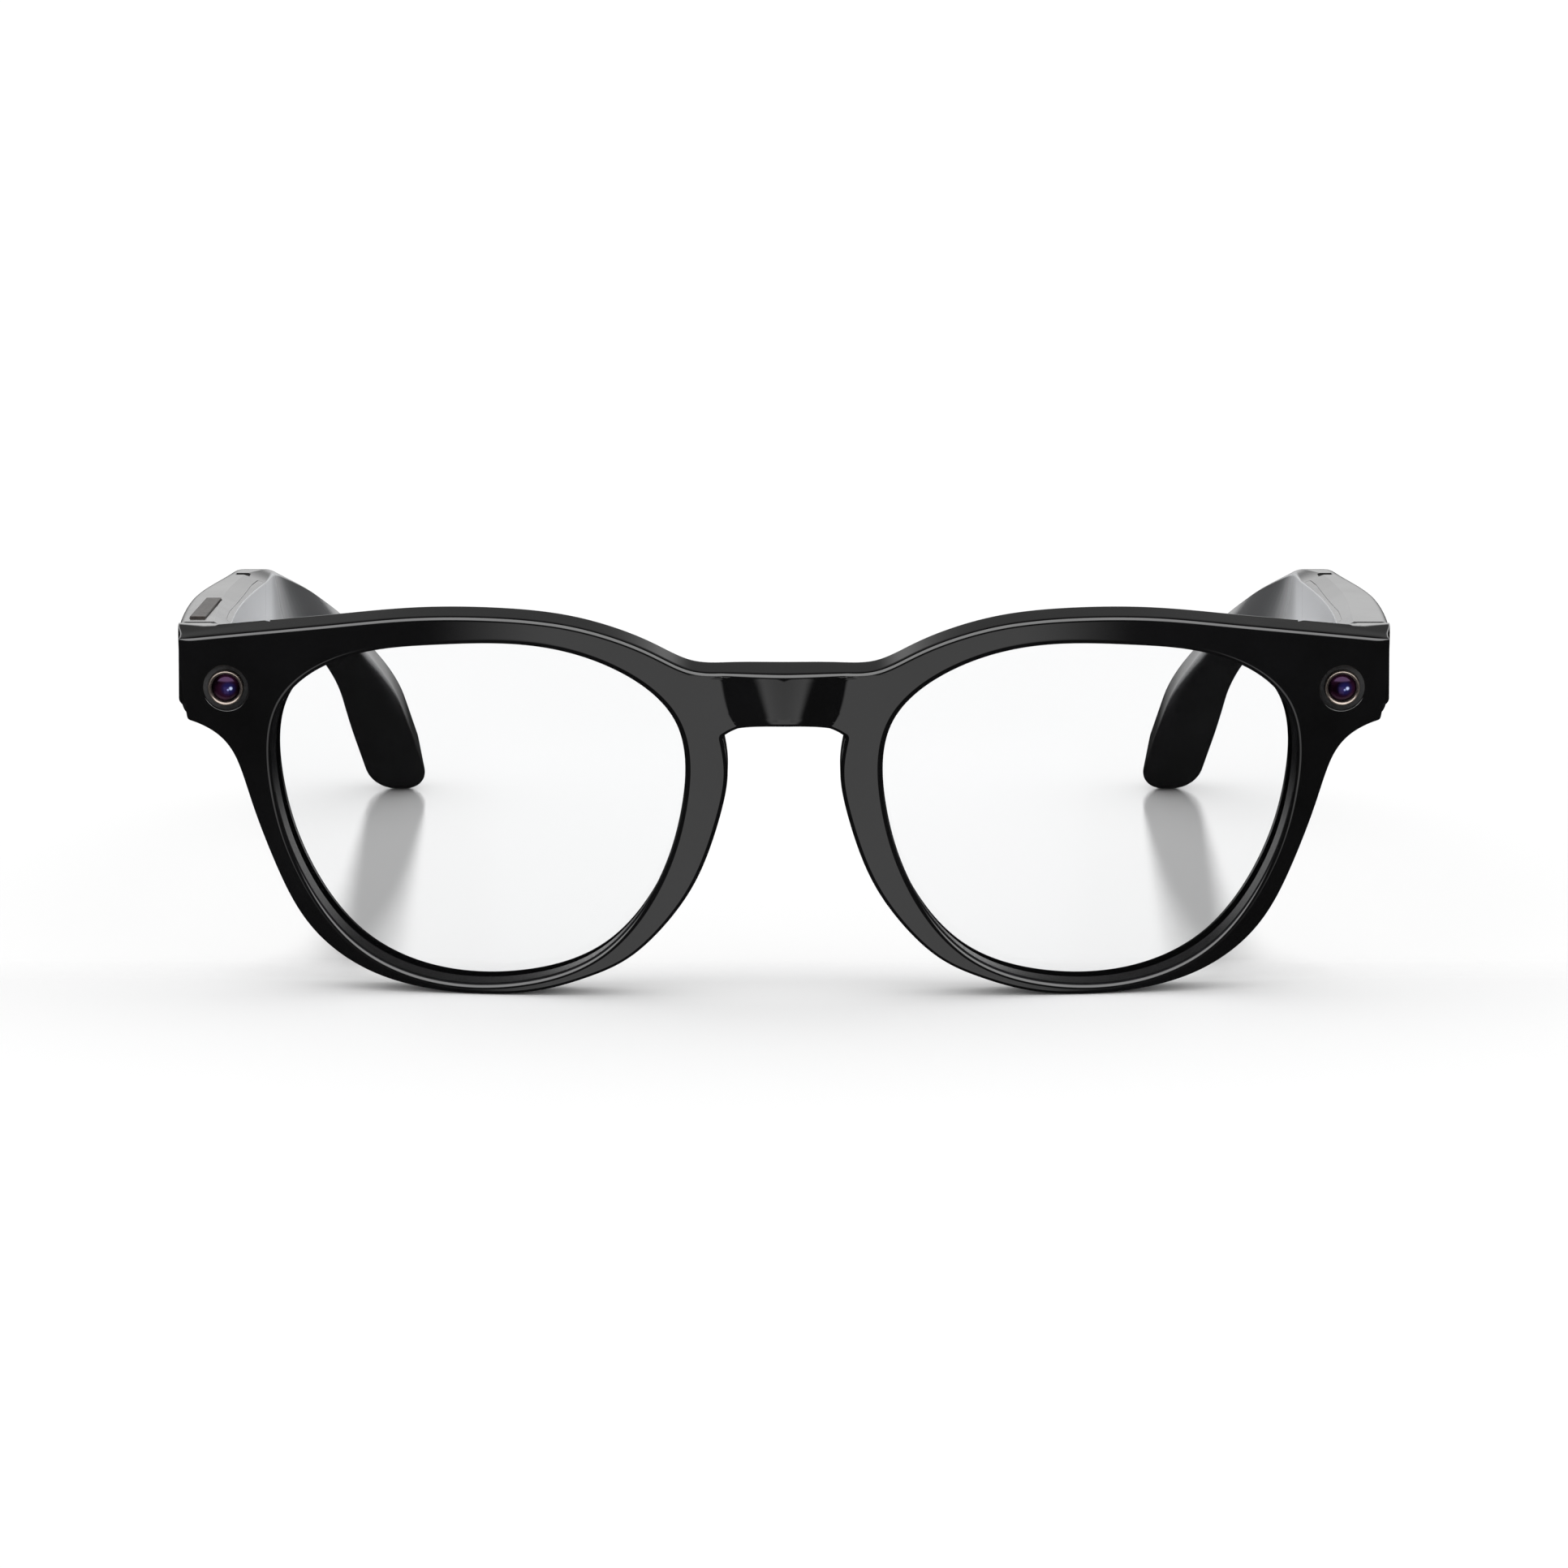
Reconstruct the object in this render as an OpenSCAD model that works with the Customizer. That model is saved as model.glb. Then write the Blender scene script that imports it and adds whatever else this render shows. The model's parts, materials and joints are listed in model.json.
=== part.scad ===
// Smart glasses: a wide black frame with two cameras and folding temples.
// Millimetres, +Z up, front facing -Y, standing on the rims and the temple tips.
// "Right" and "left" are the wearer's, so right is -X and left is +X.

/* [Frame] */
// how far the rounded bridge stands out from the rims
bridge_h = 1; // [0.7:0.1:1.2]
// half distance between the lens centres
lens_half_spacing = 35.5; // [34.5:0.1:36.5]
// thickness of the frame front, face to back
front_t = 6; // [5.6:0.1:6.4]
// radius of the front's horizontal wrap
wrap_r = 300; // [260:10:400]
// tilt of the front relative to the temples, degrees
panto = 8; // [6:0.5:10]

/* [Lenses] */
// radius of the spherical lens front
lens_r = 130; // [110:10:170]
// lens thickness
lens_t = 2; // [1.6:0.1:2.2]
// depth of the lens centre below the frame face
lens_depth = 1.7; // [1.5:0.1:2]
// depth of the lens edge in its groove
groove = 1.2; // [0.9:0.1:1.4]

/* [Temples] */
// thickness of a temple
temple_t = 6; // [5.8:0.1:6.4]
// height of a temple where it is tallest
temple_h = 13; // [12.6:0.1:13.6]
// height of a temple over the ear
tip_h = 8.5; // [7.5:0.1:9.5]
// where the temple starts to bend, measured behind the bridge
bend_y = 97; // [95:1:100]
// how far the tip drops, degrees below the straight part
bend_angle = 41; // [36:1:44]
// straight length after the bend
tip_length = 30; // [27:1:33]

/* [Cameras] */
// distance of each camera from the centre line
camera_x = 65; // [64.8:0.1:65.4]
// outer radius of the metal ring around a camera
ring_r = 2.05; // [1.9:0.05:2.1]

/* [Controls] */
// length of the capture button
button_l = 28; // [20:1:28]
// width of the capture button
button_w = 1.8; // [1.8:0.1:2.4]

/* [Hidden] */
$fn = 48;
gap = 0.05;
// row frame: the rims and the tips stand on z = 0
slope = 4.97;
floor_z = 22.01;
mid_y = 67.29;
// the temples leave the front at this depth
joint_y = 15.1;
temple_y = joint_y + 0.25;
top_z = 21.2;
// hinge axis
hinge_x = 64.9;
hinge_y = 15.2;
hinge_r = 1.7;
// temple side faces
in_x = 65.2;
out_x = in_x + temple_t;
// temple cavity
cav_x0 = 66.5;
cav_x1 = 70;
cam_v = 13.4;
// screws of the hinge end
screw_z = 12.55;

// ---------- outlines ----------
// one point of a closed uniform cubic B-spline
function bs(p, i, t) = let(n = len(p), a = p[(i + n - 1) % n], b = p[i % n],
    c = p[(i + 1) % n], d = p[(i + 2) % n])
    (a * pow(1 - t, 3) + b * (3 * t * t * t - 6 * t * t + 4)
    + c * (-3 * t * t * t + 3 * t * t + 3 * t + 1) + d * t * t * t) / 6;
function spline(p, k) = [for (i = [0 : len(p) - 1]) for (j = [0 : k - 1]) bs(p, i, j / k)];
// closed outline moved outward by d (clockwise points)
function grown(p, d) = let(n = len(p)) [for (i = [0 : n - 1])
    let(t = p[(i + 1) % n] - p[(i + n - 1) % n]) p[i] + d * [-t[1], t[0]] / norm(t)];

// lens outline around its own centre, +x toward the temple
lens_ctrl = [[24.6, 12.7], [24.2, 1.2], [21.4, -8], [15.3, -17.1], [5.8, -21.1],
    [-4.8, -21], [-14.6, -17.8], [-21, -9.1], [-24, 0.4], [-24.6, 11.6], [-15.4, 18],
    [-5.5, 20.2], [4.9, 19.5], [15, 18.6]];
lens_pts = spline(lens_ctrl, 8);

// half outline of the front from the bridge top, over the temple end, to the bridge arch
half_ctrl = [[6, 17], [10.6, 16.6], [14.6, 18.9], [19, 20.8], [25.6, 22.6], [34, 23.1],
    [43, 22.9], [52, 21.6], [61, 20.4], [67.9, 19.4], [70.5, 19], [70.5, 19], [70.5, 14.5],
    [69.6, 9.4], [69.6, 9.4], [66.4, 8.3], [63.8, 5.7], [62.25, -0.2], [59.5, -7.6],
    [55.95, -15.2], [48.7, -20.5], [39.5, -22.3], [29.6, -22.2], [22.75, -19.9],
    [17.5, -17.6], [12.2, -11.7], [9.3, -6.6], [7.2, 0.1], [6.2, 5], [7.1, 9.2], [7.1, 9.2],
    [5.5, 10.3], [2.5, 10.7]];
half_n = len(half_ctrl);
front_ctrl = concat([[0, 16.9]], half_ctrl, [[0, 10.7]],
    [for (i = [half_n - 1 : -1 : 0]) [-half_ctrl[i][0], half_ctrl[i][1]]]);
front_pts = spline(front_ctrl, 3);

// ribbon that follows the brow from camera to camera
flex_ctrl = [[0, 13.9], [6, 13.9], [11, 14.2], [15.3, 17.2], [20.5, 19.7], [28, 21.1],
    [36, 21.4], [45, 20.9], [53, 19.6], [58, 18.3], [63.5, 17]];
function flex_path(k) = let(n = len(flex_ctrl), h = [for (i = [n - 1 : -1 : 1])
    [-flex_ctrl[i][0], flex_ctrl[i][1]]], p = concat(h, flex_ctrl))
    [for (i = [1 : len(p) - 3]) for (j = [0 : k - 1]) bs(p, i, j / k)];
function side_of(p, d) = let(n = len(p)) [for (i = [0 : n - 1])
    let(t = p[min(i + 1, n - 1)] - p[max(i - 1, 0)]) p[i] + d * [-t[1], t[0]] / norm(t)];
module ribbon(w) {
    p = flex_path(3);
    a = side_of(p, w / 2);
    b = side_of(p, -w / 2);
    n = len(b);
    polygon(concat(a, [for (i = [n - 1 : -1 : 0]) b[i]]));
}

// ---------- frames ----------
// temple frame (temples level, origin at the bridge face) to the row frame
module row() translate([0, -mid_y, floor_z]) rotate([-slope, 0, 0]) children();
// front plane (x across, y depth, z up) to the temple frame
module tilt() rotate([panto, 0, 0]) children();
module side(s) mirror([s < 0 ? 1 : 0, 0, 0]) children();
// upright slab between two depths, drawn as seen from the front
module slab(y0, y1) translate([0, y1, 0]) rotate([90, 0, 0]) linear_extrude(y1 - y0)
    children();
// flat shape in the side view (y, z), given a thickness across x
module across(x0, x1) translate([x0, 0, 0]) rotate([90, 0, 90]) linear_extrude(x1 - x0)
    children();
module box(x0, x1, y0, y1, z0, z1) translate([x0, y0, z0])
    cube([x1 - x0, y1 - y0, z1 - z0]);
module rod_y(x, z, r, y0, y1) translate([x, y0, z]) rotate([-90, 0, 0])
    cylinder(r = r, h = y1 - y0);
module rod_x(y, z, r, x0, x1) translate([x0, y, z]) rotate([0, 90, 0])
    cylinder(r = r, h = x1 - x0);
module rod_z(x, y, r, z0, z1) translate([x, y, z0]) cylinder(r = r, h = z1 - z0);

// ---------- front ----------
// wrapped layer between two depths below the front face
module layer(d0, d1) difference() {
    translate([0, wrap_r, -40]) cylinder(r = wrap_r - d0, h = 80, $fn = 240);
    translate([0, wrap_r, -41]) cylinder(r = wrap_r - d1, h = 82, $fn = 240);
}
function wrap_d(x) = wrap_r - sqrt(wrap_r * wrap_r - x * x);

// spherical layer that holds a lens, between two depths at the lens centre
module lens_layer(d0, d1) {
    a = asin(lens_half_spacing / wrap_r);
    translate([0, wrap_r, 0]) rotate([0, 0, a]) translate([0, -wrap_r + lens_depth, 0])
        difference() {
            translate([0, lens_r, 0]) sphere(r = lens_r - d0, $fn = 180);
            translate([0, lens_r, 0]) sphere(r = lens_r - d1, $fn = 180);
        }
}
module lens_slab(d) slab(-6, 30) translate([lens_half_spacing, 0])
    polygon(d == 0 ? lens_pts : grown(lens_pts, d));
module lens_solid(d, extra) intersection() {
    lens_layer(-extra, lens_t + extra);
    lens_slab(d);
}

// deep end of the front, flaring out to meet the temple
module end_block() intersection() {
    tilt() slab(7, 22) intersection() {
        polygon([for (p = front_pts) [p[0] * 1.009, p[1]]]);
        translate([60.5, 8.7]) square(20);
    }
    linear_extrude(60) polygon([[60.5, 5], [69.6, 5], [70.3, 9], [71.1, joint_y],
        [60.5, joint_y]]);
}
// rounded bridge
bridge_r = 22;
module bridge() intersection() {
    slab(-5, 3) polygon(front_pts);
    translate([0, bridge_r - bridge_h, 17]) rotate([-3, 0, 0]) translate([0, 0, -20])
        cylinder(r = bridge_r, h = 40, $fn = 180);
}
module nose_pad() tilt() translate([10.6, 5.4, -2.6]) rotate([0, -16, 0])
    scale([2.1, 5, 7.5]) sphere(r = 1, $fn = 32);

module end_cuts() {
    // camera bore with its shallow round recess
    tilt() {
        rod_y(camera_x, cam_v, 2.65, 0, wrap_d(camera_x) + 0.7);
        rod_y(camera_x, cam_v, ring_r + gap, 5, 9.7);
        box(62, 68.8, 9.6, 14.6, 11.7, 18.6);
    }
    box(61.9, 68.9, 12.1, 20, 11.55, 20.6);
    for (x = [63.4, 67.4]) rod_y(x, screw_z, 0.52, 9, 13);
}

module front_frame() color("#101012") row() difference() {
    union() {
        tilt() intersection() {
            layer(0, front_t);
            slab(-5, 25) polygon(front_pts);
        }
        tilt() bridge();
        for (s = [-1, 1]) side(s) end_block();
        for (s = [-1, 1]) side(s) nose_pad();
    }
    for (s = [-1, 1]) side(s) {
        tilt() lens_slab(0);
        tilt() lens_solid(groove + gap, gap);
        end_cuts();
    }
    // hidden channel for the ribbon, just under the face
    tilt() intersection() {
        layer(1.3, 2.3);
        slab(-5, 25) ribbon(1.4);
    }
    // charging contacts in the back of the bridge
    tilt() for (x = [-2.2, 2.2]) rod_y(x, 13.2, 0.9, front_t - 1.6, front_t + 2);
}
module lens(s) color("#dfe6ea", 0.35) row() side(s) tilt() lens_solid(groove, 0);

module camera_trim(s) color("#6b625c") row() side(s) tilt() difference() {
    rod_y(camera_x, cam_v, ring_r, wrap_d(camera_x) - 0.15, 9.55);
    rod_y(camera_x, cam_v, ring_r - 0.4, 0, 12);
}
module camera_window(s) color("#2a1730") row() side(s) tilt() intersection() {
    rod_y(camera_x, cam_v, ring_r - 0.43, 0, wrap_d(camera_x) + 0.9);
    translate([camera_x, wrap_d(camera_x) + 3.6, cam_v]) sphere(r = 3.6);
}
module camera_module(s) color("#1d1d1f") row() side(s) tilt() {
    rod_y(camera_x, cam_v, 1.5, 8.2, 10.4);
    box(camera_x - 2.7, camera_x + 2.7, 10.3, 12.2, cam_v - 1.65, cam_v + 2.9);
}
module camera_board(s) color("#1f5a38") row() side(s) tilt()
    box(camera_x - 2.85, camera_x + 2.85, 12.25, 12.65, cam_v - 1.65, cam_v + 3);
module front_flex() color("#a8671c") row() tilt() intersection() {
    layer(1.6, 1.9);
    slab(-5, 25) ribbon(1);
}
module charge_contacts() color("#c9a24a") row() tilt() for (x = [-2.2, 2.2])
    rod_y(x, 13.2, 0.85, front_t - 1.5, front_t - 0.1);

// ---------- hinge ----------
lug_z = [[14, 15.6], [17.8, 19.4]];
module hinge_front(s) color("#8d8f92") row() side(s) difference() {
    union() {
        box(62.1, 68.7, 12.5, 13.3, 11.65, 20.4);
        for (z = lug_z) {
            box(hinge_x - 1, hinge_x + 1, 13.2, hinge_y, z[0], z[1]);
            rod_z(hinge_x, hinge_y, hinge_r, z[0], z[1]);
        }
    }
    rod_z(hinge_x, hinge_y, 0.62, 13, 21);
    for (x = [63.4, 67.4]) rod_y(x, screw_z, 0.55, 12, 14);
}
module hinge_pin(s) color("#b5b7ba") row() side(s) {
    rod_z(hinge_x, hinge_y, 0.6, 13.8, 19.5);
    difference() {
        rod_z(hinge_x, hinge_y, 1.15, 19.45, 20.25);
        box(hinge_x - 2, hinge_x + 2, hinge_y - 0.15, hinge_y + 0.15, 19.9, 21);
    }
}
module endpiece_cap(s) color("#101012") row() side(s) difference() {
    box(61.95, 68.85, 13.4, joint_y, 11.6, 20.55);
    box(hinge_x - 1.9, hinge_x + 1.9, 13, 16, 13.7, 21);
    for (x = [63.4, 67.4]) {
        rod_y(x, screw_z, 0.55, 13, 16);
        translate([x, joint_y - 0.7, screw_z]) rotate([-90, 0, 0])
            cylinder(r1 = 0.55, r2 = 0.85, h = 0.8);
    }
}
module endpiece_screws() color("#b5b7ba") row() for (s = [-1, 1]) side(s)
    for (x = [63.4, 67.4]) {
        rod_y(x, screw_z, 0.5, 9.3, joint_y - 0.5);
        difference() {
            translate([x, joint_y - 0.6, screw_z]) rotate([-90, 0, 0])
                cylinder(r1 = 0.5, r2 = 0.78, h = 0.55);
            box(x - 1, x + 1, joint_y - 0.25, joint_y + 1, screw_z - 0.12,
                screw_z + 0.12);
        }
    }
module hinge_temple(s) color("#8d8f92") row() side(s) difference() {
    union() {
        rod_z(hinge_x, hinge_y, hinge_r, 15.7, 17.7);
        box(hinge_x, 66.8, hinge_y + 0.05, 18, 15.7, 17.7);
        box(65.9, 66.8, 17.6, 25, 13.8, 19.4);
    }
    rod_z(hinge_x, hinge_y, 0.66, 15, 19);
    for (y = [20, 23.4]) rod_x(y, 16.6, 0.55, 65, 68);
}
module hinge_screws(s) color("#b5b7ba") row() side(s) for (y = [20, 23.4]) {
    rod_x(y, 16.6, 0.5, 65.7, 69.4);
    difference() {
        rod_x(y, 16.6, 0.95, 65.35, 65.88);
        box(65, 65.6, y - 1.2, y + 1.2, 16.48, 16.72);
    }
}

// ---------- temples ----------
// smooth step and the running total of a linear ramp
function sm(t) = let(c = max(0, min(1, t))) c * c * (3 - 2 * c);
function ramp(s, a, b) = s <= a ? 0 : s >= b ? s - (a + b) / 2
    : (s - a) * (s - a) / (2 * (b - a));
bend_r = 30;
bend_l = bend_r * bend_angle * PI / 180;
cap_l = tip_h / 2;
end_s = bend_l + tip_length;
// s runs along the top edge and is zero where the bend starts
function top_y(s) = s <= 0 ? bend_y + s : s < bend_l
    ? bend_y + bend_r * sin(bend_angle * s / bend_l)
    : bend_y + bend_r * sin(bend_angle) + (s - bend_l) * cos(bend_angle);
function top_h(s) = s <= 0 ? top_z : s < bend_l
    ? top_z - bend_r * (1 - cos(bend_angle * s / bend_l))
    : top_z - bend_r * (1 - cos(bend_angle)) - (s - bend_l) * sin(bend_angle);
function turn(s) = s <= 0 ? 0 : s < bend_l ? bend_angle * s / bend_l : bend_angle;
// how far the drop leans in, at depth y and d below the top line
function lean(y, d) = sm((y - 96) / 15) * (1.05 * ramp(d, -0.5, 0.5)
    - 0.4 * ramp(d, 6, 10) - 0.4 * ramp(d, 13, 19));
function bow(y) = y > bend_y ? 0 : 0.5 * sin(180 * (y - temple_y) / (bend_y - temple_y));
// extra thickness on the outer side, greatest half way to the bend
function swell(y) = 1.4 * bow(y);
function tall(y) = 9.9 + (temple_h - 9.9) * sm((y - temple_y) / 24)
    - (temple_h - 9.4) * sm((y - 70) / 32) - (9.4 - tip_h) * sm((y - 102) / 20);
// rounded end: fraction of the full section
function cap(s) = s <= end_s - cap_l ? 1
    : sqrt(max(0.02, 1 - pow((s - end_s + cap_l) / cap_l, 2)));
// section corners: [across, up, radius, first angle]
function section(a, h, r, ri) = [for (c = [[a - r, -r, r, 0], [-a + ri, -ri, ri, 90],
    [-a + r, -h + r, r, 180], [a - r, -h + r, r, 270]]) for (i = [0 : 3])
    [c[0] + c[2] * cos(c[3] + 30 * i), c[1] + c[2] * sin(c[3] + 30 * i)]];
function station(s) = let(y = top_y(s), z = top_h(s), w = turn(s), k = cap(s), h = tall(y),
    wide = 1 + 0.1 * sm((s - 5) / 18) + 0.2 * sm((s - 20) / 20),
    slim = (0.55 + 0.45 * k) * wide * (k < 1 ? 0.4 + 0.6 * k : 1),
    a = temple_t / 2 * slim + swell(y) / 2,
    r = min(1.1 + 1.2 * sm(s / 25), a * 0.9, h * k * 0.45),
    ri = min(1.4 + 1.0 * sm((s + 40) / 45), a * 0.9, h * k * 0.45),
    x = in_x + temple_t / 2 + bow(y) + swell(y) / 2)
    [for (p = section(a, h * k, r, ri)) let(b = p[1] - h * (1 - k) / 2,
        py = y + b * sin(w), pz = z + b * cos(w))
        [x + p[0] - lean(py, top_z - pz), py, pz]];
stations = concat([for (y = [temple_y, 18, 22, 26, 32, 38, 48, 58, 68, 76, 84, 91]) y - bend_y],
    [for (i = [0 : 10]) bend_l * i / 10],
    [for (i = [1 : 6]) bend_l + (tip_length - cap_l) * i / 6],
    [for (a = [20, 40, 56, 70, 82]) end_s - cap_l + cap_l * sin(a)]);
module temple_body() {
    n = 16;
    m = len(stations);
    pts = [for (s = stations) for (p = station(s)) p];
    walls = [for (j = [0 : m - 2]) for (i = [0 : n - 1]) let(a = j * n + i,
        b = j * n + (i + 1) % n, c = a + n, d = b + n) each [[a, b, d], [a, d, c]]];
    ends = [for (i = [1 : n - 2]) each [[0, i + 1, i],
        [(m - 1) * n, (m - 1) * n + i, (m - 1) * n + i + 1]]];
    polyhedron(points = pts, faces = concat(walls, ends));
}
// side view of the cavity, grown by d
module cavity_shape(d) polygon([[26 - d, 11.4 - d], [38 - d, 9.8 - d], [72 + d, 9.8 - d],
    [88 + d, 11.8 - d], [88 + d, 19.9 + d], [26 - d, 19.9 + d]]);

module shell_cuts() {
    across(cav_x0 - 0.5, cav_x1) cavity_shape(0);
    across(60, cav_x0 + gap) cavity_shape(0.65);
    // room for the knuckles and the screwed plate
    rod_z(hinge_x, hinge_y, hinge_r + 0.25, 13.5, 20.5);
    box(60, 66.85, 15, 18.1, 15.6, 17.8);
    box(60, 66.85, 17.5, 25.1, 13.7, 19.5);
    for (y = [20, 23.4]) rod_x(y, 16.6, 0.52, 66, 69.5);
    // sound slot and microphone port in the underside
    box(67.4, 69.2, 65, 73, 5, 11);
    rod_z(68.3, 58, 0.4, 5, 11);
    // vent pocket over the ear
    box(67.6, 69.4, 88.6, 91.6, 20.4, 24);
}
module temple_shell(s) color("#161618") row() side(s) difference() {
    temple_body();
    shell_cuts();
    if (s < 0) box(button_x - button_w / 2 - 0.1, button_x + button_w / 2 + 0.1,
        button_y0 - 1.3, button_y0 + button_l + 1.3, 19, 24);
}
module temple_cover(s) color("#161618") row() side(s) difference() {
    intersection() {
        temple_body();
        across(60, cav_x0) cavity_shape(0.6);
    }
    if (s > 0) box(60, 70, 30.8, 37.2, 15, 17);
    if (s < 0) rod_x(30, 17.6, 0.65, 60, 70);
}
module speaker(s) color("#3a3b3d") row() side(s) {
    box(66.8, 69.7, 63, 75, 10.9, 19.2);
    box(67.5, 69.1, 65.2, 72.8, 10, 11);
}
module speaker_grille(s) color("#4a4b4d") row() side(s) difference() {
    box(67.45, 69.15, 65.05, 72.95, 8.9, 9.4);
    for (i = [0 : 5]) rod_z(68.3, 66 + 1.2 * i, 0.35, 8, 10);
}
module top_vent(s) color("#2b2c2e") row() side(s) difference() {
    box(67.65, 69.35, 88.65, 91.55, 20.42, 20.95);
    for (i = [0 : 2]) rod_z(68.5, 89.3 + 0.8 * i, 0.25, 20, 22);
}
module microphone(s) color("#9a9ca0") row() side(s) difference() {
    box(67.2, 69.4, 56.6, 59.4, 9.85, 10.7);
    rod_z(68.3, 58, 0.3, 9, 10.2);
}

// ---------- right temple ----------
button_x = 69.3;
button_y0 = 20.5;
module capture_button() color("#3b3735") row() side(-1) {
    box(button_x - button_w / 2, button_x + button_w / 2, button_y0, button_y0 + button_l,
        19.75, top_z + 0.25);
    box(67.6, 69.9, 27, 48, 19.15, 19.8);
}
module button_switch() color("#77787b") row() side(-1) {
    box(67.3, 69.7, 35, 38, 16.95, 18.2);
    rod_z(68.5, 36.5, 0.7, 18.1, 18.65);
}
module main_board() color("#1f5a38") row() side(-1) {
    box(67.9, 68.5, 27, 62, 11.6, 16.9);
    box(68.4, 69.3, 30, 37, 12.2, 16.4);
    box(68.4, 69.2, 40, 45, 12.2, 16);
    box(67.1, 68, 47, 55, 12, 16.6);
}
module touchpad_film() color("#a8671c") row() side(-1)
    box(69.6, 69.9, 40, 62, 10.9, 18.4);
module status_led() color("#e9efe9") row() side(-1) {
    rod_x(30, 17.6, 0.6, 65.8, 66.7);
    box(66.6, 67.4, 29.2, 30.8, 17, 18.4);
}

// ---------- left temple ----------
module battery() color("#8a93a0") row() side(1) box(66.8, 69.7, 40.5, 62.5, 10.8, 19.3);
module power_board() color("#1f5a38") row() side(1) {
    box(68.9, 69.5, 27, 39.5, 11.8, 18.8);
    box(68.2, 69, 28, 30, 12.6, 15);
}
module slide_switch() color("#77787b") row() side(1) difference() {
    box(67.3, 68.85, 30.6, 37.4, 14.4, 17.6);
    box(67, 68.3, 31.6, 36.4, 15.4, 16.6);
}
// slider with a thumb ridge, shown at the front end of its travel
module power_switch() color("#2f3032") row() side(1) {
    box(64.85, 66.9, 31, 34, 15.1, 16.9);
    box(66.6, 68.1, 32, 33, 15.6, 16.4);
    for (i = [0 : 2]) box(64.6, 65, 31.6 + 0.8 * i, 31.9 + 0.8 * i, 15.3, 16.7);
}

front_frame();
lens(-1);  // lens_right
lens(1);  // lens_left
camera_trim(-1);  // camera_trim_right
camera_trim(1);  // camera_trim_left
camera_window(-1);  // camera_window_right
camera_window(1);  // camera_window_left
camera_module(-1);  // camera_module_right
camera_module(1);  // camera_module_left
camera_board(-1);  // camera_board_right
camera_board(1);  // camera_board_left
front_flex();
charge_contacts();
hinge_front(-1);  // hinge_front_right
hinge_front(1);  // hinge_front_left
hinge_pin(-1);  // hinge_pin_right
hinge_pin(1);  // hinge_pin_left
endpiece_cap(-1);  // endpiece_cap_right
endpiece_cap(1);  // endpiece_cap_left
endpiece_screws();
temple_shell(-1);  // temple_shell_right
temple_cover(-1);  // temple_cover_right
hinge_temple(-1);  // hinge_temple_right
hinge_screws(-1);  // hinge_screws_right
main_board();
touchpad_film();
speaker(-1);  // speaker_right
speaker_grille(-1);  // speaker_grille_right
top_vent(-1);  // top_vent_right
microphone(-1);  // microphone_right
button_switch();
status_led();
capture_button();
temple_shell(1);  // temple_shell_left
temple_cover(1);  // temple_cover_left
hinge_temple(1);  // hinge_temple_left
hinge_screws(1);  // hinge_screws_left
battery();
power_board();
speaker(1);  // speaker_left
speaker_grille(1);  // speaker_grille_left
top_vent(1);  // top_vent_left
microphone(1);  // microphone_left
slide_switch();
power_switch();
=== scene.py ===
# Looks for the smart glasses: smooth black front and temples, clear lenses, cameras, soft studio.
import json
import math

import bmesh
import bpy
import numpy as np
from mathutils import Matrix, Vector


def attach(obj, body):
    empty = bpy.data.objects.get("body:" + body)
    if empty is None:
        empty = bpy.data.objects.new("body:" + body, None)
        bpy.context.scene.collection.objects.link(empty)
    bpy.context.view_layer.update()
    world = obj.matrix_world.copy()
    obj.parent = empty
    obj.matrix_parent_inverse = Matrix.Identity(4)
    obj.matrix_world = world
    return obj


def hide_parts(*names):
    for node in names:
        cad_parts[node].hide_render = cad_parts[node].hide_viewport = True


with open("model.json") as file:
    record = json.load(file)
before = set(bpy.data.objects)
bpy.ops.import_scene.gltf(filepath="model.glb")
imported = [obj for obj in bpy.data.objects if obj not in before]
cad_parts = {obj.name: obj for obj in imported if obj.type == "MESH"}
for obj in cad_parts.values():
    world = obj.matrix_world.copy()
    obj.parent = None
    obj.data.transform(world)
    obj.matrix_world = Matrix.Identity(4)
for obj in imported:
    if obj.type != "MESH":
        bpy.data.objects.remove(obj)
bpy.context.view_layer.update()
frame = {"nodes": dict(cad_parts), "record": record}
NODES = frame["nodes"]
RECORD = frame["record"]

# ---------------------------------------------------------------- frames
# The temple frame has level temples and its origin on the bridge face, in millimetres.
# The record's left hinge says how it sits in the row frame.
HINGE = (64.9, 15.2, 16.7)
JOINTS = {j["name"]: j for j in RECORD["behaviour"]["joints"]}
LEFT = JOINTS["left_temple_fold"]
SLOPE = math.atan2(LEFT["axis"][1], LEFT["axis"][2])
CS, SS = math.cos(SLOPE), math.sin(SLOPE)
OFF_Y = LEFT["pos_m"][1] * 1000 - (HINGE[1] * CS + HINGE[2] * SS)
OFF_Z = LEFT["pos_m"][2] * 1000 - (-HINGE[1] * SS + HINGE[2] * CS)
PANTO = math.radians(8)
WRAP = 300.0
FRONT_T = 6.0
JOINT_Y = 15.1
CAM_X, CAM_V = 65.0, 13.4


def to_row(p):
    """Temple frame (n, 3) in mm to the row frame in metres."""
    p = np.asarray(p, float)
    y = p[:, 1] * CS + p[:, 2] * SS + OFF_Y
    z = -p[:, 1] * SS + p[:, 2] * CS + OFF_Z
    return np.stack([p[:, 0], y, z], 1) / 1000


def tilted(p):
    """Front plane (x, depth, height) to the temple frame."""
    p = np.asarray(p, float)
    c, s = math.cos(PANTO), math.sin(PANTO)
    return np.stack([p[:, 0], p[:, 1] * c - p[:, 2] * s, p[:, 2] * c + p[:, 1] * s], 1)


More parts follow.
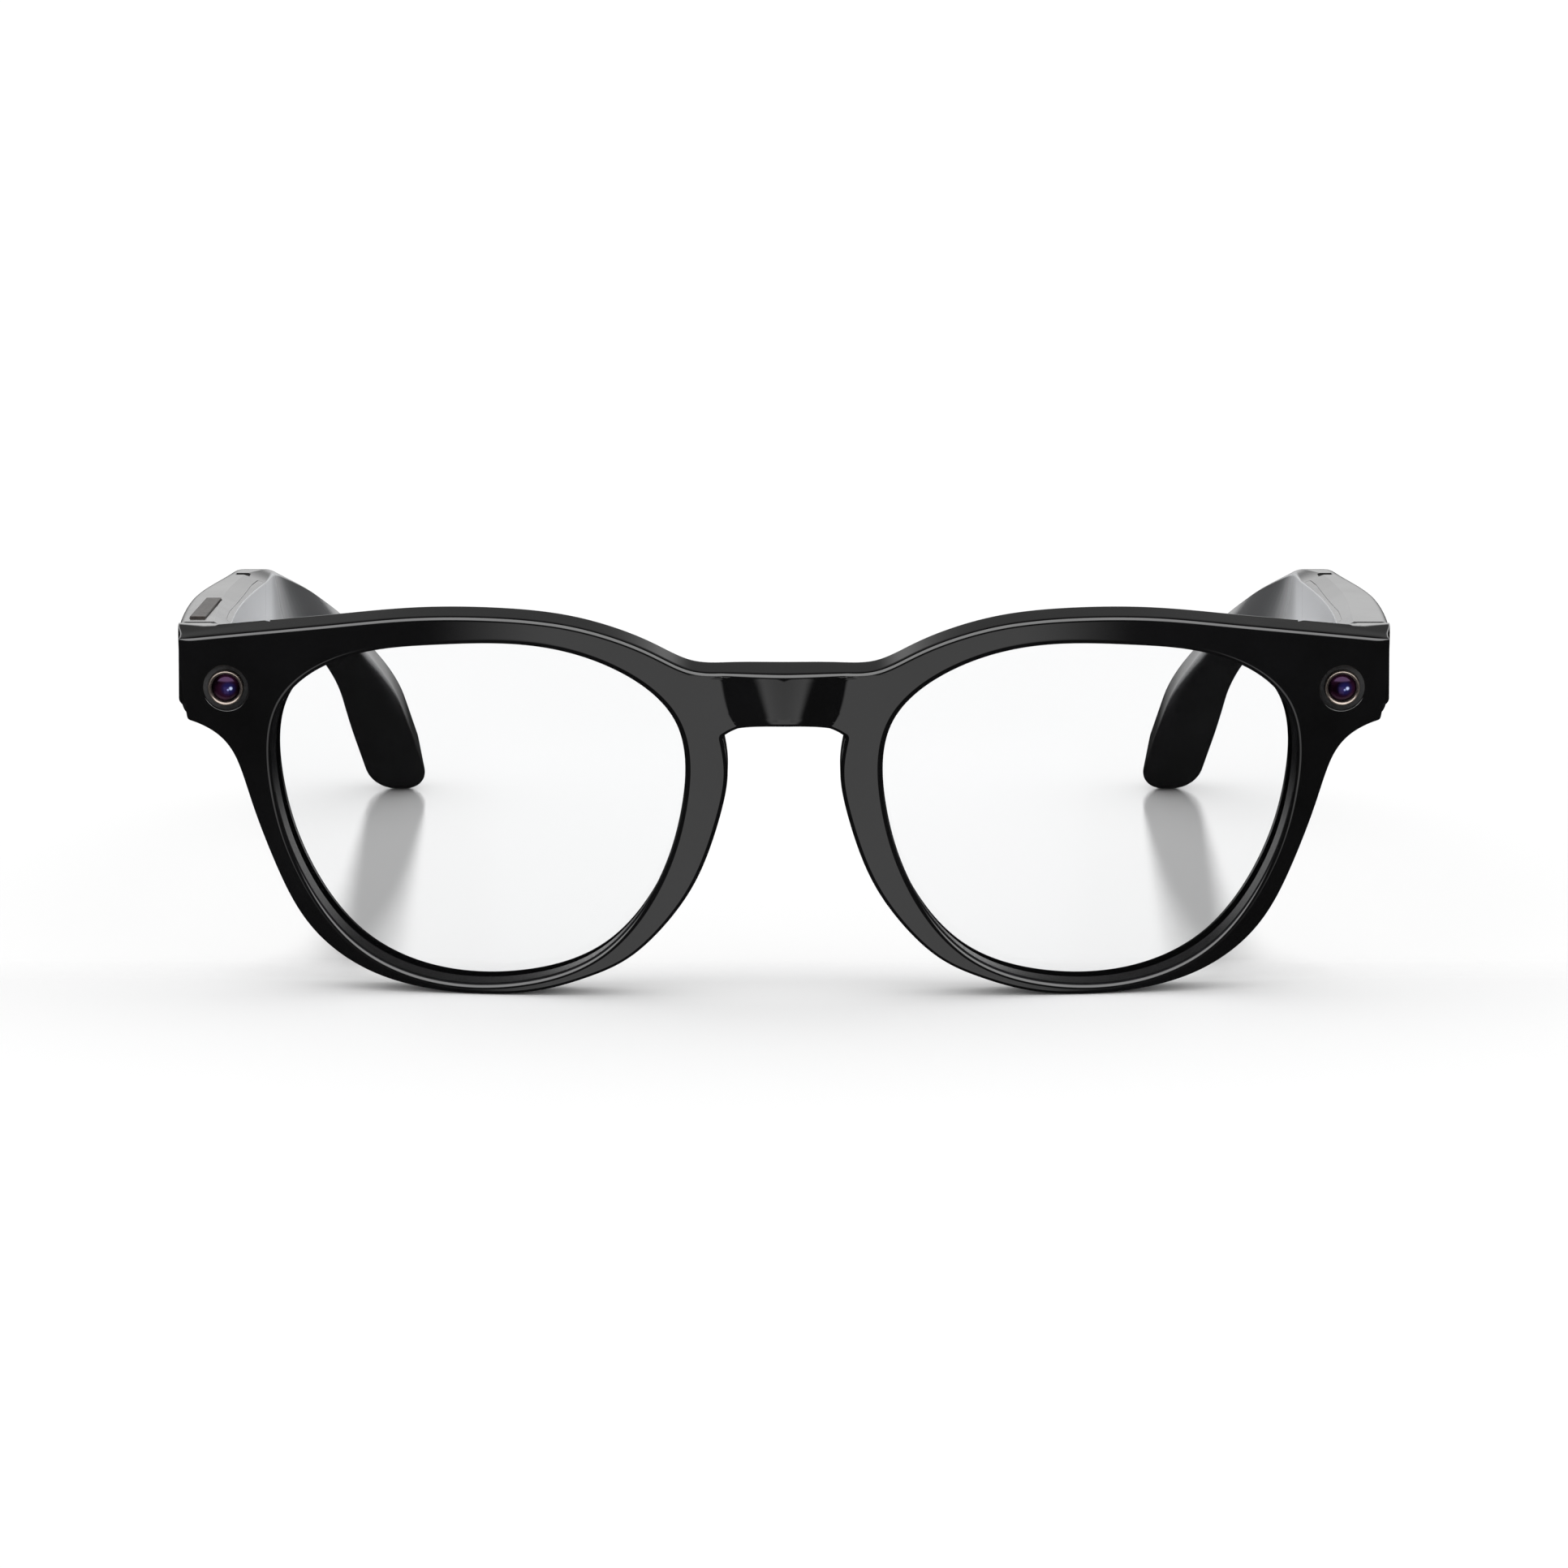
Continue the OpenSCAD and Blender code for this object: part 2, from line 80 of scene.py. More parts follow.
def spline(ctrl, per, first=None, last=None):
    """Closed uniform cubic B-spline, sampled per times in each span."""
    p = np.array(ctrl, float)
    n = len(p)
    out = []
    for i in range(0 if first is None else first, n if last is None else last):
        a, b, c, d = (p[(i + k) % n] for k in (-1, 0, 1, 2))
        for j in range(per):
            t = j / per
            out.append((a * (1 - t) ** 3 + b * (3 * t**3 - 6 * t**2 + 4)
                        + c * (-3 * t**3 + 3 * t**2 + 3 * t + 1) + d * t**3) / 6)
    return np.array(out)


def smooth01(t):
    t = np.clip(t, 0, 1)
    return t * t * (3 - 2 * t)


# ---------------------------------------------------------------- materials
def nodes_of(mat):
    mat.use_nodes = True
    nt = mat.node_tree
    return nt, nt.nodes, nt.links, nt.nodes["Principled BSDF"]


def noise(nt, scale, detail=3.0, rough=0.5, stretch=None):
    coord = nt.nodes.new("ShaderNodeTexCoord")
    mapping = nt.nodes.new("ShaderNodeMapping")
    mapping.inputs["Scale"].default_value = stretch or (1, 1, 1)
    tex = nt.nodes.new("ShaderNodeTexNoise")
    tex.inputs["Scale"].default_value = scale
    tex.inputs["Detail"].default_value = detail
    tex.inputs["Roughness"].default_value = rough
    nt.links.new(coord.outputs["Object"], mapping.inputs["Vector"])
    nt.links.new(mapping.outputs["Vector"], tex.inputs["Vector"])
    return tex


def ranged(nt, tex, lo, hi, a=0.3, b=0.7):
    r = nt.nodes.new("ShaderNodeMapRange")
    r.inputs["From Min"].default_value = a
    r.inputs["From Max"].default_value = b
    r.inputs["To Min"].default_value = lo
    r.inputs["To Max"].default_value = hi
    nt.links.new(tex.outputs[0], r.inputs["Value"])
    return r


def tinted(nt, tex, dark, light, a=0.3, b=0.7):
    r = nt.nodes.new("ShaderNodeValToRGB")
    r.color_ramp.elements[0].position = a
    r.color_ramp.elements[0].color = (*dark, 1)
    r.color_ramp.elements[1].position = b
    r.color_ramp.elements[1].color = (*light, 1)
    nt.links.new(tex.outputs[0], r.inputs["Fac"])
    return r


def bumped(nt, tex, bsdf, strength, distance):
    b = nt.nodes.new("ShaderNodeBump")
    b.inputs["Strength"].default_value = strength
    b.inputs["Distance"].default_value = distance
    nt.links.new(tex.outputs[0], b.inputs["Height"])
    nt.links.new(b.outputs["Normal"], bsdf.inputs["Normal"])


def surface(name, dark, light, rough, metallic=0.0, scale=220, bump=0.0, bump_scale=1500,
            stretch=None, ior=1.5, coat=0.0, spread=0.35):
    """A principled surface whose colour, roughness and relief all vary a little."""
    mat = bpy.data.materials.new(name)
    nt, nodes, links, bsdf = nodes_of(mat)
    broad = noise(nt, scale, 4, 0.55)
    fine = noise(nt, bump_scale, 3, 0.6, stretch)
    links.new(tinted(nt, broad, dark, light).outputs["Color"], bsdf.inputs["Base Color"])
    links.new(ranged(nt, fine, rough * (1 - spread), rough * (1 + spread)).outputs["Result"],
              bsdf.inputs["Roughness"])
    bsdf.inputs["Metallic"].default_value = metallic
    bsdf.inputs["IOR"].default_value = ior
    bsdf.inputs["Coat Weight"].default_value = coat
    bsdf.inputs["Coat Roughness"].default_value = 0.05
    if bump:
        bumped(nt, fine, bsdf, 0.5, bump)
    return mat


def gloss_black(name, base, rough):
    """Polished black plastic: crisp reflections, faint smudges and hairline scratches."""
    mat = bpy.data.materials.new(name)
    nt, nodes, links, bsdf = nodes_of(mat)
    cloud = noise(nt, 60, 4, 0.6)
    hair = noise(nt, 900, 2, 0.5, (1, 12, 1))
    links.new(tinted(nt, cloud, (base * 0.7,) * 3, (base * 1.3, base * 1.3, base * 1.4))
              .outputs["Color"], bsdf.inputs["Base Color"])
    links.new(ranged(nt, cloud, rough * 0.75, rough * 1.35).outputs["Result"],
              bsdf.inputs["Roughness"])
    bsdf.inputs["IOR"].default_value = 1.52
    bumped(nt, hair, bsdf, 0.08, 0.0000008)
    return mat


def temple_finish_and_painted_sheen(name, base, rough):
    """Polished outside and satin on the inside of the straight part of an arm, where a light grey
    painted sheen also shows in the base colour when seen edge on.
    """
    mat = gloss_black(name, base, rough)
    nodes, links = mat.node_tree.nodes, mat.node_tree.links
    bsdf = next(n for n in nodes if n.type == "BSDF_PRINCIPLED")
    coord = nodes.new("ShaderNodeTexCoord")
    normal = nodes.new("ShaderNodeSeparateXYZ")
    place = nodes.new("ShaderNodeSeparateXYZ")
    links.new(coord.outputs["Normal"], normal.inputs[0])
    links.new(coord.outputs["Object"], place.inputs[0])

    def calc(op, a, b):
        n = nodes.new("ShaderNodeMath")
        n.operation = op
        for i, x in enumerate((a, b)):
            if isinstance(x, float):
                n.inputs[i].default_value = x
            else:
                links.new(x, n.inputs[i])
        return n.outputs[0]

    def fade(x, lo, hi):
        n = nodes.new("ShaderNodeMapRange")
        n.interpolation_type = "SMOOTHSTEP"
        links.new(x, n.inputs["Value"])
        n.inputs["From Min"].default_value = lo
        n.inputs["From Max"].default_value = hi
        return n.outputs["Result"]

    inward = calc("MULTIPLY", calc("MULTIPLY", normal.outputs[0], -1.0),
                  calc("MULTIPLY", place.outputs[0], 14.0))
    ahead = calc("MULTIPLY", place.outputs[1], -1.0)
    mask = calc("MULTIPLY", fade(inward, 0.3, 0.8), fade(ahead, -0.056, -0.022))
    old = bsdf.inputs["Roughness"].links[0].from_socket
    mixed = calc("ADD", calc("MULTIPLY", old, calc("SUBTRACT", 1.0, mask)),
                 calc("MULTIPLY", mask, 0.34))
    links.new(mixed, bsdf.inputs["Roughness"])
    # painted sheen: the base colour turns light grey when the satin is seen almost edge on,
    # standing in for its grazing reflection
    layer = nodes.new("ShaderNodeLayerWeight")
    layer.inputs["Blend"].default_value = 0.5
    painted_sheen = calc("MULTIPLY", mask, fade(layer.outputs["Facing"], 0.3, 0.95))
    blend = nodes.new("ShaderNodeMix")
    blend.data_type = "RGBA"
    links.new(painted_sheen, blend.inputs["Factor"])
    links.new(bsdf.inputs["Base Color"].links[0].from_socket, blend.inputs["A"])
    # light grey of the painted sheen
    blend.inputs["B"].default_value = (0.62, 0.63, 0.65, 1)
    links.new(blend.outputs["Result"], bsdf.inputs["Base Color"])
    return mat


def clear_lens(name):
    """Clear lens: straight-through light with a faint tint, and a weak coated reflection."""
    mat = bpy.data.materials.new(name)
    nt, nodes, links, bsdf = nodes_of(mat)
    nodes.remove(bsdf)
    out = nodes["Material Output"]
    through = nodes.new("ShaderNodeBsdfTransparent")
    gloss = nodes.new("ShaderNodeBsdfGlossy")
    mix = nodes.new("ShaderNodeMixShader")
    fres = nodes.new("ShaderNodeFresnel")
    fres.inputs["IOR"].default_value = 1.3
    film = noise(nt, 18, 2, 0.5)
    links.new(tinted(nt, film, (0.962, 0.964, 0.966), (0.970, 0.971, 0.973)).outputs["Color"],
              through.inputs["Color"])
    links.new(tinted(nt, film, (0.55, 0.66, 0.62), (0.66, 0.6, 0.74)).outputs["Color"],
              gloss.inputs["Color"])
    links.new(ranged(nt, film, 0.012, 0.03).outputs["Result"], gloss.inputs["Roughness"])
    # only the side that faces out reflects
    geo = nodes.new("ShaderNodeNewGeometry")
    outer = nodes.new("ShaderNodeMath")
    outer.operation = "SUBTRACT"
    outer.inputs[0].default_value = 1
    links.new(geo.outputs["Backfacing"], outer.inputs[1])
    share = nodes.new("ShaderNodeMath")
    share.operation = "MULTIPLY"
    links.new(fres.outputs[0], share.inputs[0])
    links.new(outer.outputs[0], share.inputs[1])
    links.new(share.outputs[0], mix.inputs[0])
    links.new(through.outputs[0], mix.inputs[1])
    links.new(gloss.outputs[0], mix.inputs[2])
    links.new(mix.outputs[0], out.inputs["Surface"])
    return mat


def camera_glass(name, centre):
    """Dark coated camera window: reddish purple, with a blue lens element inside it, set off to the
    right as a painted reflection, and two light painted glints.
    """
    mat = bpy.data.materials.new(name)
    nt, nodes, links, bsdf = nodes_of(mat)
    tex = noise(nt, 420, 1.5, 0.4)
    base = tinted(nt, tex, (0.004, 0.001, 0.003), (0.034, 0.008, 0.026), 0.35, 0.65)
    coord = nodes.new("ShaderNodeTexCoord")

    def spot(dx, dz, inner, outer):
        d = nodes.new("ShaderNodeVectorMath")
        d.operation = "DISTANCE"
        links.new(coord.outputs["Object"], d.inputs[0])
        d.inputs[1].default_value = (centre[0] + dx, centre[1], centre[2] + dz)
        m = nodes.new("ShaderNodeMapRange")
        m.interpolation_type = "SMOOTHSTEP"
        links.new(d.outputs["Value"], m.inputs["Value"])
        for k, v in (("From Min", inner), ("From Max", outer), ("To Min", 1), ("To Max", 0)):
            m.inputs[k].default_value = v
        return m.outputs["Result"]

    def over(a, fac, colour):
        mix = nodes.new("ShaderNodeMix")
        mix.data_type = "RGBA"
        links.new(fac, mix.inputs["Factor"])
        links.new(a, mix.inputs["A"])
        mix.inputs["B"].default_value = (*colour, 1)
        return mix.outputs["Result"]

    # blue lens element, placed off to the right where the painted reflection falls
    c = over(base.outputs["Color"], spot(0.00035, -0.00005, 0.0003, 0.0011), (0.012, 0.012, 0.075))
    # painted glints: two light specks to the lower right stand in for highlights on the window
    c = over(c, spot(0.00062, -0.00004, 0.00012, 0.00030), (0.55, 0.62, 0.9))
    c = over(c, spot(0.00028, -0.0002, 0.00007, 0.00018), (0.30, 0.34, 0.62))
    links.new(c, bsdf.inputs["Base Color"])
    links.new(ranged(nt, tex, 0.02, 0.05).outputs["Result"], bsdf.inputs["Roughness"])
    bsdf.inputs["IOR"].default_value = 1.6
    bsdf.inputs["Specular Tint"].default_value = (0.30, 0.17, 0.36, 1)
    return mat


BLACK = gloss_black("polished_black", 0.0045, 0.05)
# temple black, with a painted sheen on the satin inside faces
TEMPLE_BLACK = temple_finish_and_painted_sheen("polished_temple_black", 0.006, 0.10)
WALL = surface("opening_satin", (0.004, 0.004, 0.004), (0.008, 0.008, 0.009), 0.2, 0, 500, 4e-7,
               3000, ior=1.2)
LENS = clear_lens("lens_clear")
RING = surface("ring_satin", (0.15, 0.125, 0.11), (0.24, 0.205, 0.18), 0.32, 0.85, 900, 2e-6, 5000)
STEEL = surface("hinge_steel", (0.34, 0.34, 0.35), (0.48, 0.48, 0.49), 0.3, 1.0, 500, 2e-6, 3000,
                (1, 1, 14))
SCREW = surface("screw_steel", (0.45, 0.45, 0.46), (0.6, 0.6, 0.6), 0.25, 1.0, 900, 1.5e-6, 4000)
GOLD = surface("contact_gold", (0.62, 0.44, 0.16), (0.8, 0.6, 0.27), 0.22, 1.0, 900, 1e-6, 4000)
KEY = surface("key_satin", (0.055, 0.046, 0.042), (0.09, 0.076, 0.069), 0.36, 0.35, 700, 3e-6, 6000)
SLIDER = surface("slider_black", (0.014, 0.014, 0.015), (0.028, 0.028, 0.03), 0.42, 0, 600, 6e-6,
                 4000)
GRILLE = surface("grille_dark", (0.01, 0.01, 0.011), (0.024, 0.024, 0.026), 0.4, 0.6, 900, 3e-6,
                 6000)
MATTE = surface("inner_black", (0.01, 0.01, 0.011), (0.022, 0.022, 0.023), 0.55, 0, 500, 8e-6, 3000)
BOARD = surface("board_green", (0.01, 0.07, 0.025), (0.025, 0.13, 0.05), 0.45, 0, 900, 5e-6, 2500)
FLEX = surface("flex_amber", (0.3, 0.13, 0.02), (0.46, 0.22, 0.05), 0.35, 0, 500, 3e-6, 2000)
FOIL = surface("battery_foil", (0.4, 0.42, 0.45), (0.58, 0.6, 0.63), 0.3, 0.9, 300, 1.2e-5, 700)
CAN = surface("mic_can", (0.42, 0.4, 0.36), (0.6, 0.58, 0.53), 0.3, 1.0, 900, 2e-6, 4000)
HOUSING = surface("switch_grey", (0.1, 0.1, 0.105), (0.17, 0.17, 0.18), 0.5, 0, 700, 5e-6, 3000)
LED = surface("light_pipe", (0.7, 0.74, 0.72), (0.86, 0.88, 0.86), 0.35, 0, 900, 3e-6, 4000)


# ---------------------------------------------------------------- solids to cut with
def raw_mesh(verts, faces):
    me = bpy.data.meshes.new("raw")
    me.from_pydata([tuple(map(float, v)) for v in verts], [], faces)
    o = bpy.data.objects.new("raw", me)
    bpy.context.scene.collection.objects.link(o)
    bm = bmesh.new()
    bm.from_mesh(me)
    bmesh.ops.remove_doubles(bm, verts=bm.verts, dist=1e-5)
    bmesh.ops.recalc_face_normals(bm, faces=bm.faces)
    bm.to_mesh(me)
    bm.free()
    return o


def prism(side, x0, x1):
    """Side-view polygon (y, z), given a thickness across x."""
    n = len(side)
    v = [(x, y, z) for x in (x0, x1) for y, z in side]
    f = [tuple(range(n)), tuple(range(2 * n - 1, n - 1, -1))]
    f += [(i, i + n, (i + 1) % n + n, (i + 1) % n) for i in range(n)]
    return raw_mesh(v, f)


def block(x0, x1, y0, y1, z0, z1):
    return prism([(y0, z0), (y1, z0), (y1, z1), (y0, z1)], x0, x1)


def turned(rings, centre, seg=64, axis="y"):
    """Closed solid of revolution from (radius, along) pairs; radius 0 closes an end."""
    v, f = [], []
    for r, t in rings:
        for k in range(seg):
            a = 2 * math.pi * k / seg
            p, q = r * math.cos(a), r * math.sin(a)
            v.append({"y": (p, t, q), "z": (p, q, t), "x": (t, p, q)}[axis])
    v = np.array(v) + np.array(centre, float)
    for i in range(len(rings) - 1):
        for k in range(seg):
            a, b = i * seg + k, i * seg + (k + 1) % seg
            f.append((a, b, b + seg, a + seg))
    f.append(tuple(range(seg)))
    f.append(tuple((len(rings) - 1) * seg + k for k in range(seg))[::-1])
    return raw_mesh(v, f)


def moved(o, fn):
    """Passes the object's vertices through fn."""
    n = len(o.data.vertices)
    co = np.empty(n * 3)
    o.data.vertices.foreach_get("co", co)
    o.data.vertices.foreach_set("co", np.asarray(fn(co.reshape(-1, 3)), float).ravel())
    o.data.update()
    return o


def cut(o, tools, op="DIFFERENCE"):
    """Applies the boolean for each tool, then removes the tools."""
    for i, t in enumerate(tools):
        m = o.modifiers.new("cut%d" % i, "BOOLEAN")
        m.operation = op
        m.solver = "EXACT"
        m.object = t
    dg = bpy.context.evaluated_depsgraph_get()
    me = bpy.data.meshes.new_from_object(o.evaluated_get(dg))
    o.modifiers.clear()
    old, o.data = o.data, me
    bpy.data.meshes.remove(old)
    for t in tools:
        bpy.data.objects.remove(t)
    return o


def finish_piece(o, name, body, slot, mat, *replaced, flip=False, sharp=32):
    """Temple-frame solid in mm to a named piece in the row frame."""
    me = o.data
    if flip:
        moved(o, lambda p: p * [-1, 1, 1])
    moved(o, to_row)
    bm = bmesh.new()
    bm.from_mesh(me)
    bmesh.ops.remove_doubles(bm, verts=bm.verts, dist=2e-8)
    bmesh.ops.dissolve_degenerate(bm, edges=bm.edges, dist=2e-8)
    if flip:
        bmesh.ops.reverse_faces(bm, faces=bm.faces)
    for f in bm.faces:
        f.smooth = True
        f.material_index = 0
    for e in bm.edges:
        if len(e.link_faces) == 2 and e.calc_face_angle(0) > math.radians(sharp):
            e.smooth = False
    bm.to_mesh(me)
    bm.free()
    me.materials.clear()
    me.materials.append(mat)
    o.name = me.name = name
    w = o.modifiers.new("weighted", "WEIGHTED_NORMAL")
    w.mode = "FACE_AREA"
    w.weight = 60
    w.keep_sharp = True
    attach(o, body)
    if replaced:
        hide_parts(*replaced)
    return o


# ---------------------------------------------------------------- front
LENS_X = 35.5
LENS_CTRL = [[24.6, 12.7], [24.2, 1.2], [21.4, -8], [15.3, -17.1], [5.8, -21.1],
             [-4.8, -21], [-14.6, -17.8], [-21, -9.1], [-24, 0.4], [-24.6, 11.6], [-15.4, 18],
             [-5.5, 20.2], [4.9, 19.5], [15, 18.6]]
HALF_CTRL = [[6, 17], [10.6, 16.6], [14.6, 18.9], [19, 20.8], [25.6, 22.6], [34, 23.1],
             [43, 22.9], [52, 21.6], [61, 20.4], [67.9, 19.4], [70.5, 19], [70.5, 19],
             [70.5, 14.5], [69.6, 9.4], [69.6, 9.4], [66.4, 8.3], [63.8, 5.7], [62.25, -0.2],
             [59.5, -7.6], [55.95, -15.2], [48.7, -20.5], [39.5, -22.3], [29.6, -22.2],
             [22.75, -19.9], [17.5, -17.6], [12.2, -11.7], [9.3, -6.6], [7.2, 0.1], [6.2, 5],
             [7.1, 9.2], [7.1, 9.2], [5.5, 10.3], [2.5, 10.7]]
# outline point, and the lens edge point that the mesh joins it to
PAIRS = [([14.6, 18.9], [-14.5, 18.0]), ([25.6, 22.6], [-8, 19.4]), ([34, 23.1], [-1, 19.9]),
         ([43, 22.9], [7.5, 19.2]), ([52, 21.6], [15.5, 18.2]), ([61, 20.4], [21.5, 16.6]),
         ([70.3, 19], [24.0, 13.8]), ([70.3, 14.5], [24.5, 11.8]), ([69.6, 9.6], [24.5, 9.3]),
         ([66.4, 8.3], [24.4, 7.2]), ([63.8, 5.7], [24.3, 4.4]), ([61.9, -0.1], [23.8, -1]),
         ([59, -7.4], [21.6, -8]), ([55.6, -15], [17.2, -14.6]), ([48.5, -20.4], [11.2, -19]),
         ([39.5, -22.3], [3.5, -20.8]), ([29.6, -22.2], [-6, -20.6]),
         ([21.8, -19.5], [-13.4, -17.8]), ([13.7, -13.2], [-19.2, -12]),
         ([9.5, -6.4], [-22.4, -5.6]),
         ([7.2, 0.1], [-23.9, 0]), ([6.4, 5], [-24.3, 4.6]), ([7.0, 9.2], [-24.2, 8.2]),
         ([5.2, 10.2], [-24.0, 10.0])]
EDGE_R, LENS_EDGE_R, BACK_R, LENS_BACK_R = 0.55, 0.65, 0.5, 0.35


def unit(v):
    return v / np.maximum(np.linalg.norm(v, axis=-1, keepdims=True), 1e-12)


def wrap(u):
    return WRAP - np.sqrt(WRAP**2 - u**2)


def face_depth(u, v):
    """Front surface: the wrap, with a cone-like rounded bridge standing out of it."""
    a = wrap(u)
    low = np.clip((16.9 - v) / 5.5, -0.2, 1.3)
    r = 24 - 11 * low
    h = 1.0 + 0.3 * low
    b = np.where(np.abs(u) < 8.8, r - h - np.sqrt(np.maximum(r * r - u * u, 0.01)), 9.0)
    k = 0.05
    t = np.clip(0.5 + 0.5 * (b - a) / k, 0, 1)
    return b * (1 - t) + a * t - k * t * (1 - t)


def joint_depth(v):
    return (JOINT_Y - 0.06 + v * math.sin(PANTO)) / math.cos(PANTO)


def end_share(u, v):
    return smooth01((u - 60.2) / 1.4) * smooth01((v - 6.4) / 2.4)


def back_depth(u, v):
    """Back surface: the wrap 6 mm in, the deep end that meets the temple, and the nose pad."""
    rim = WRAP - np.sqrt((WRAP - FRONT_T) ** 2 - u**2)
    b = end_share(u, v)
    w = rim * (1 - b) + joint_depth(v) * b
    t = math.radians(16)
    p, q = u - 10.6, v + 2.6
    a, c = p * math.cos(t) - q * math.sin(t), p * math.sin(t) + q * math.cos(t)
    rho = np.clip(1 - (a / 3.0) ** 2 - (c / 8.0) ** 2, 0, 1)
    return w + 3.9 * rho**0.8 * smooth01(rho * 3)


def lens_depth(u, v, r):
    a = math.asin(LENS_X / WRAP)
    d = WRAP - 1.7 - 130
    return WRAP - d * math.cos(a) - np.sqrt(r * r - (u - d * math.sin(a)) ** 2 - v**2)


def normals2(p, closed):
    """Left-hand normals of a polyline; for a clockwise outline they point outwards."""
    if closed:
        t = np.roll(p, -1, 0) - np.roll(p, 1, 0)
    else:
        t = np.gradient(p, axis=0)
    t = unit(t)
    return np.stack([-t[:, 1], t[:, 0]], 1)


def arclen(p):
    return np.concatenate([[0], np.cumsum(np.linalg.norm(np.diff(p, axis=0), axis=1))])


def front_half():
    ctrl = [[0, 16.9]] + HALF_CTRL + [[0, 10.7]] + [[-x, y] for x, y in HALF_CTRL[::-1]]
    n = len(HALF_CTRL) + 1
    out = spline(ctrl, 12, 0, n)
    end = spline(ctrl, 1, n, n + 1)
    out = np.concatenate([out, end])
    out[0, 0] = out[-1, 0] = 0
    nrm = -normals2(out, False)
    nrm[0], nrm[-1] = (0, -1), (0, 1)
    # the edge radius shrinks where the outline turns sharply
    s = arclen(out)
    turn = np.unwrap(np.arctan2(np.gradient(out[:, 1]), np.gradient(out[:, 0])))
    curv = -np.gradient(turn) / np.maximum(np.gradient(s), 1e-6)
    room = 0.75 / np.maximum(curv, 1e-3)
    ker = np.hanning(15)
    ker /= ker.sum()

    def eased(r):
        r = np.minimum(r, room)
        low = np.array([r[max(0, i - 5):i + 6].min() for i in range(len(r))])
        return np.convolve(np.pad(low, 7, mode="edge"), ker, "valid")

    # matching points along the lens edge
    lens = spline(LENS_CTRL, 40)
    ls = arclen(np.concatenate([lens, lens[:1]]))
    total = ls[-1]
    key_s, key_l = [], []
    for o, l in PAIRS:
        key_s.append(s[np.argmin(np.linalg.norm(out - o, axis=1))])
        key_l.append(ls[np.argmin(np.linalg.norm(lens - l, axis=1))])
    key_l = np.array(key_l)
    for i in range(1, len(key_l)):
        while key_l[i] < key_l[i - 1]:
            key_l[i:] += total
    seam_n = 12
    top_l = key_l[0] - 5.2
    bot_l = key_l[-1] + 2.1
    key_s = np.array([0] + key_s + [s[-1]])
    key_l = np.array([top_l] + list(key_l) + [bot_l])
    m = len(out)
    lp = np.interp(s, key_s, key_l)
    seam_l = np.linspace(bot_l, top_l + total, seam_n + 2)[1:-1]
    lp = np.concatenate([lp, seam_l])
    # smooth the matching round the loop
    big = np.concatenate([lp - total, lp, lp + total])
    ker2 = np.hanning(27)
    ker2 /= ker2.sum()
    big = np.convolve(np.pad(big, 13, mode="edge"), ker2, "valid")
    lp = big[len(lp):2 * len(lp)]
    q = np.mod(lp, total)
    ring = np.concatenate([lens, lens[:1]])
    inn = np.stack([np.interp(q, ls, ring[:, k]) for k in (0, 1)], 1)
    nl_all = normals2(lens, True)
    nl = np.concatenate([nl_all, nl_all[:1]])
    innn = unit(np.stack([np.interp(q, ls, nl[:, k]) for k in (0, 1)], 1))
    inn = inn + [LENS_X, 0]

    def outer_ring(d):
        """Outline moved inwards by d, closed along the middle of the bridge."""
        p = out + nrm * np.reshape(d, (-1, 1))
        v0, v1 = p[-1, 1], p[0, 1]
        seam = np.stack([np.zeros(seam_n), np.linspace(v0, v1, seam_n + 2)[1:-1]], 1)
        return np.concatenate([p, seam])

    def flared(p):
        """The deep end widens to meet the temple, and its top runs level with the temple."""
        c, t = math.cos(PANTO), math.sin(PANTO)
        u, w, v = p.T
        y = w * c - v * t
        rim = WRAP - np.sqrt((WRAP - FRONT_T) ** 2 - u**2)
        level = 20.72 + 0.4 * smooth01((u - 64.6) / 2.2)
        over = np.maximum(v * c + w * t - level, 0)
        v = v - over / c * smooth01((w - rim + 0.35) / 0.4) * smooth01((u - 58) / 2)
        u = u * (1 + 0.009 * smooth01((y - 8) / 6.5) * smooth01((u - 58) / 8))
        return np.stack([u, w, v], 1)

    def row(uv, w):
        return flared(np.stack([uv[:, 0], np.broadcast_to(w, len(uv)), uv[:, 1]], 1))

    # the lens opening is cut along the lens axis, so it leans towards the nose
    lean = math.tan(math.asin(LENS_X / WRAP))

    def leaned(uv, w):
        d = np.maximum(w - face_depth(uv[:, 0], uv[:, 1]) - LENS_EDGE_R, 0)
        return np.stack([uv[:, 0] - d * lean, uv[:, 1]], 1)

    r1 = eased(np.full(m, EDGE_R))
    share = end_share(out[:, 0], out[:, 1])
    r2 = eased(BACK_R * (1 - share) + 0.2 * share)
    rows, closed = [], []          # closed rows carry the bridge seam too

    def add(p, full):
        rows.append(p)
        closed.append(full)

    arc = np.radians(np.linspace(0, 90, 7))
    # front edge, from the wall to the face
    for a in arc[:-1]:
        uv = out + nrm * (r1 * (1 - np.cos(a)))[:, None]
        add(row(uv, face_depth(uv[:, 0], uv[:, 1]) + r1 * (1 - np.sin(a))), False)
    # front face
    fo = outer_ring(r1)
    fi = inn + innn * LENS_EDGE_R
    for t in np.linspace(0, 1, 17):
        uv = fo * (1 - t) + fi * t
        add(row(uv, face_depth(uv[:, 0], uv[:, 1])), True)
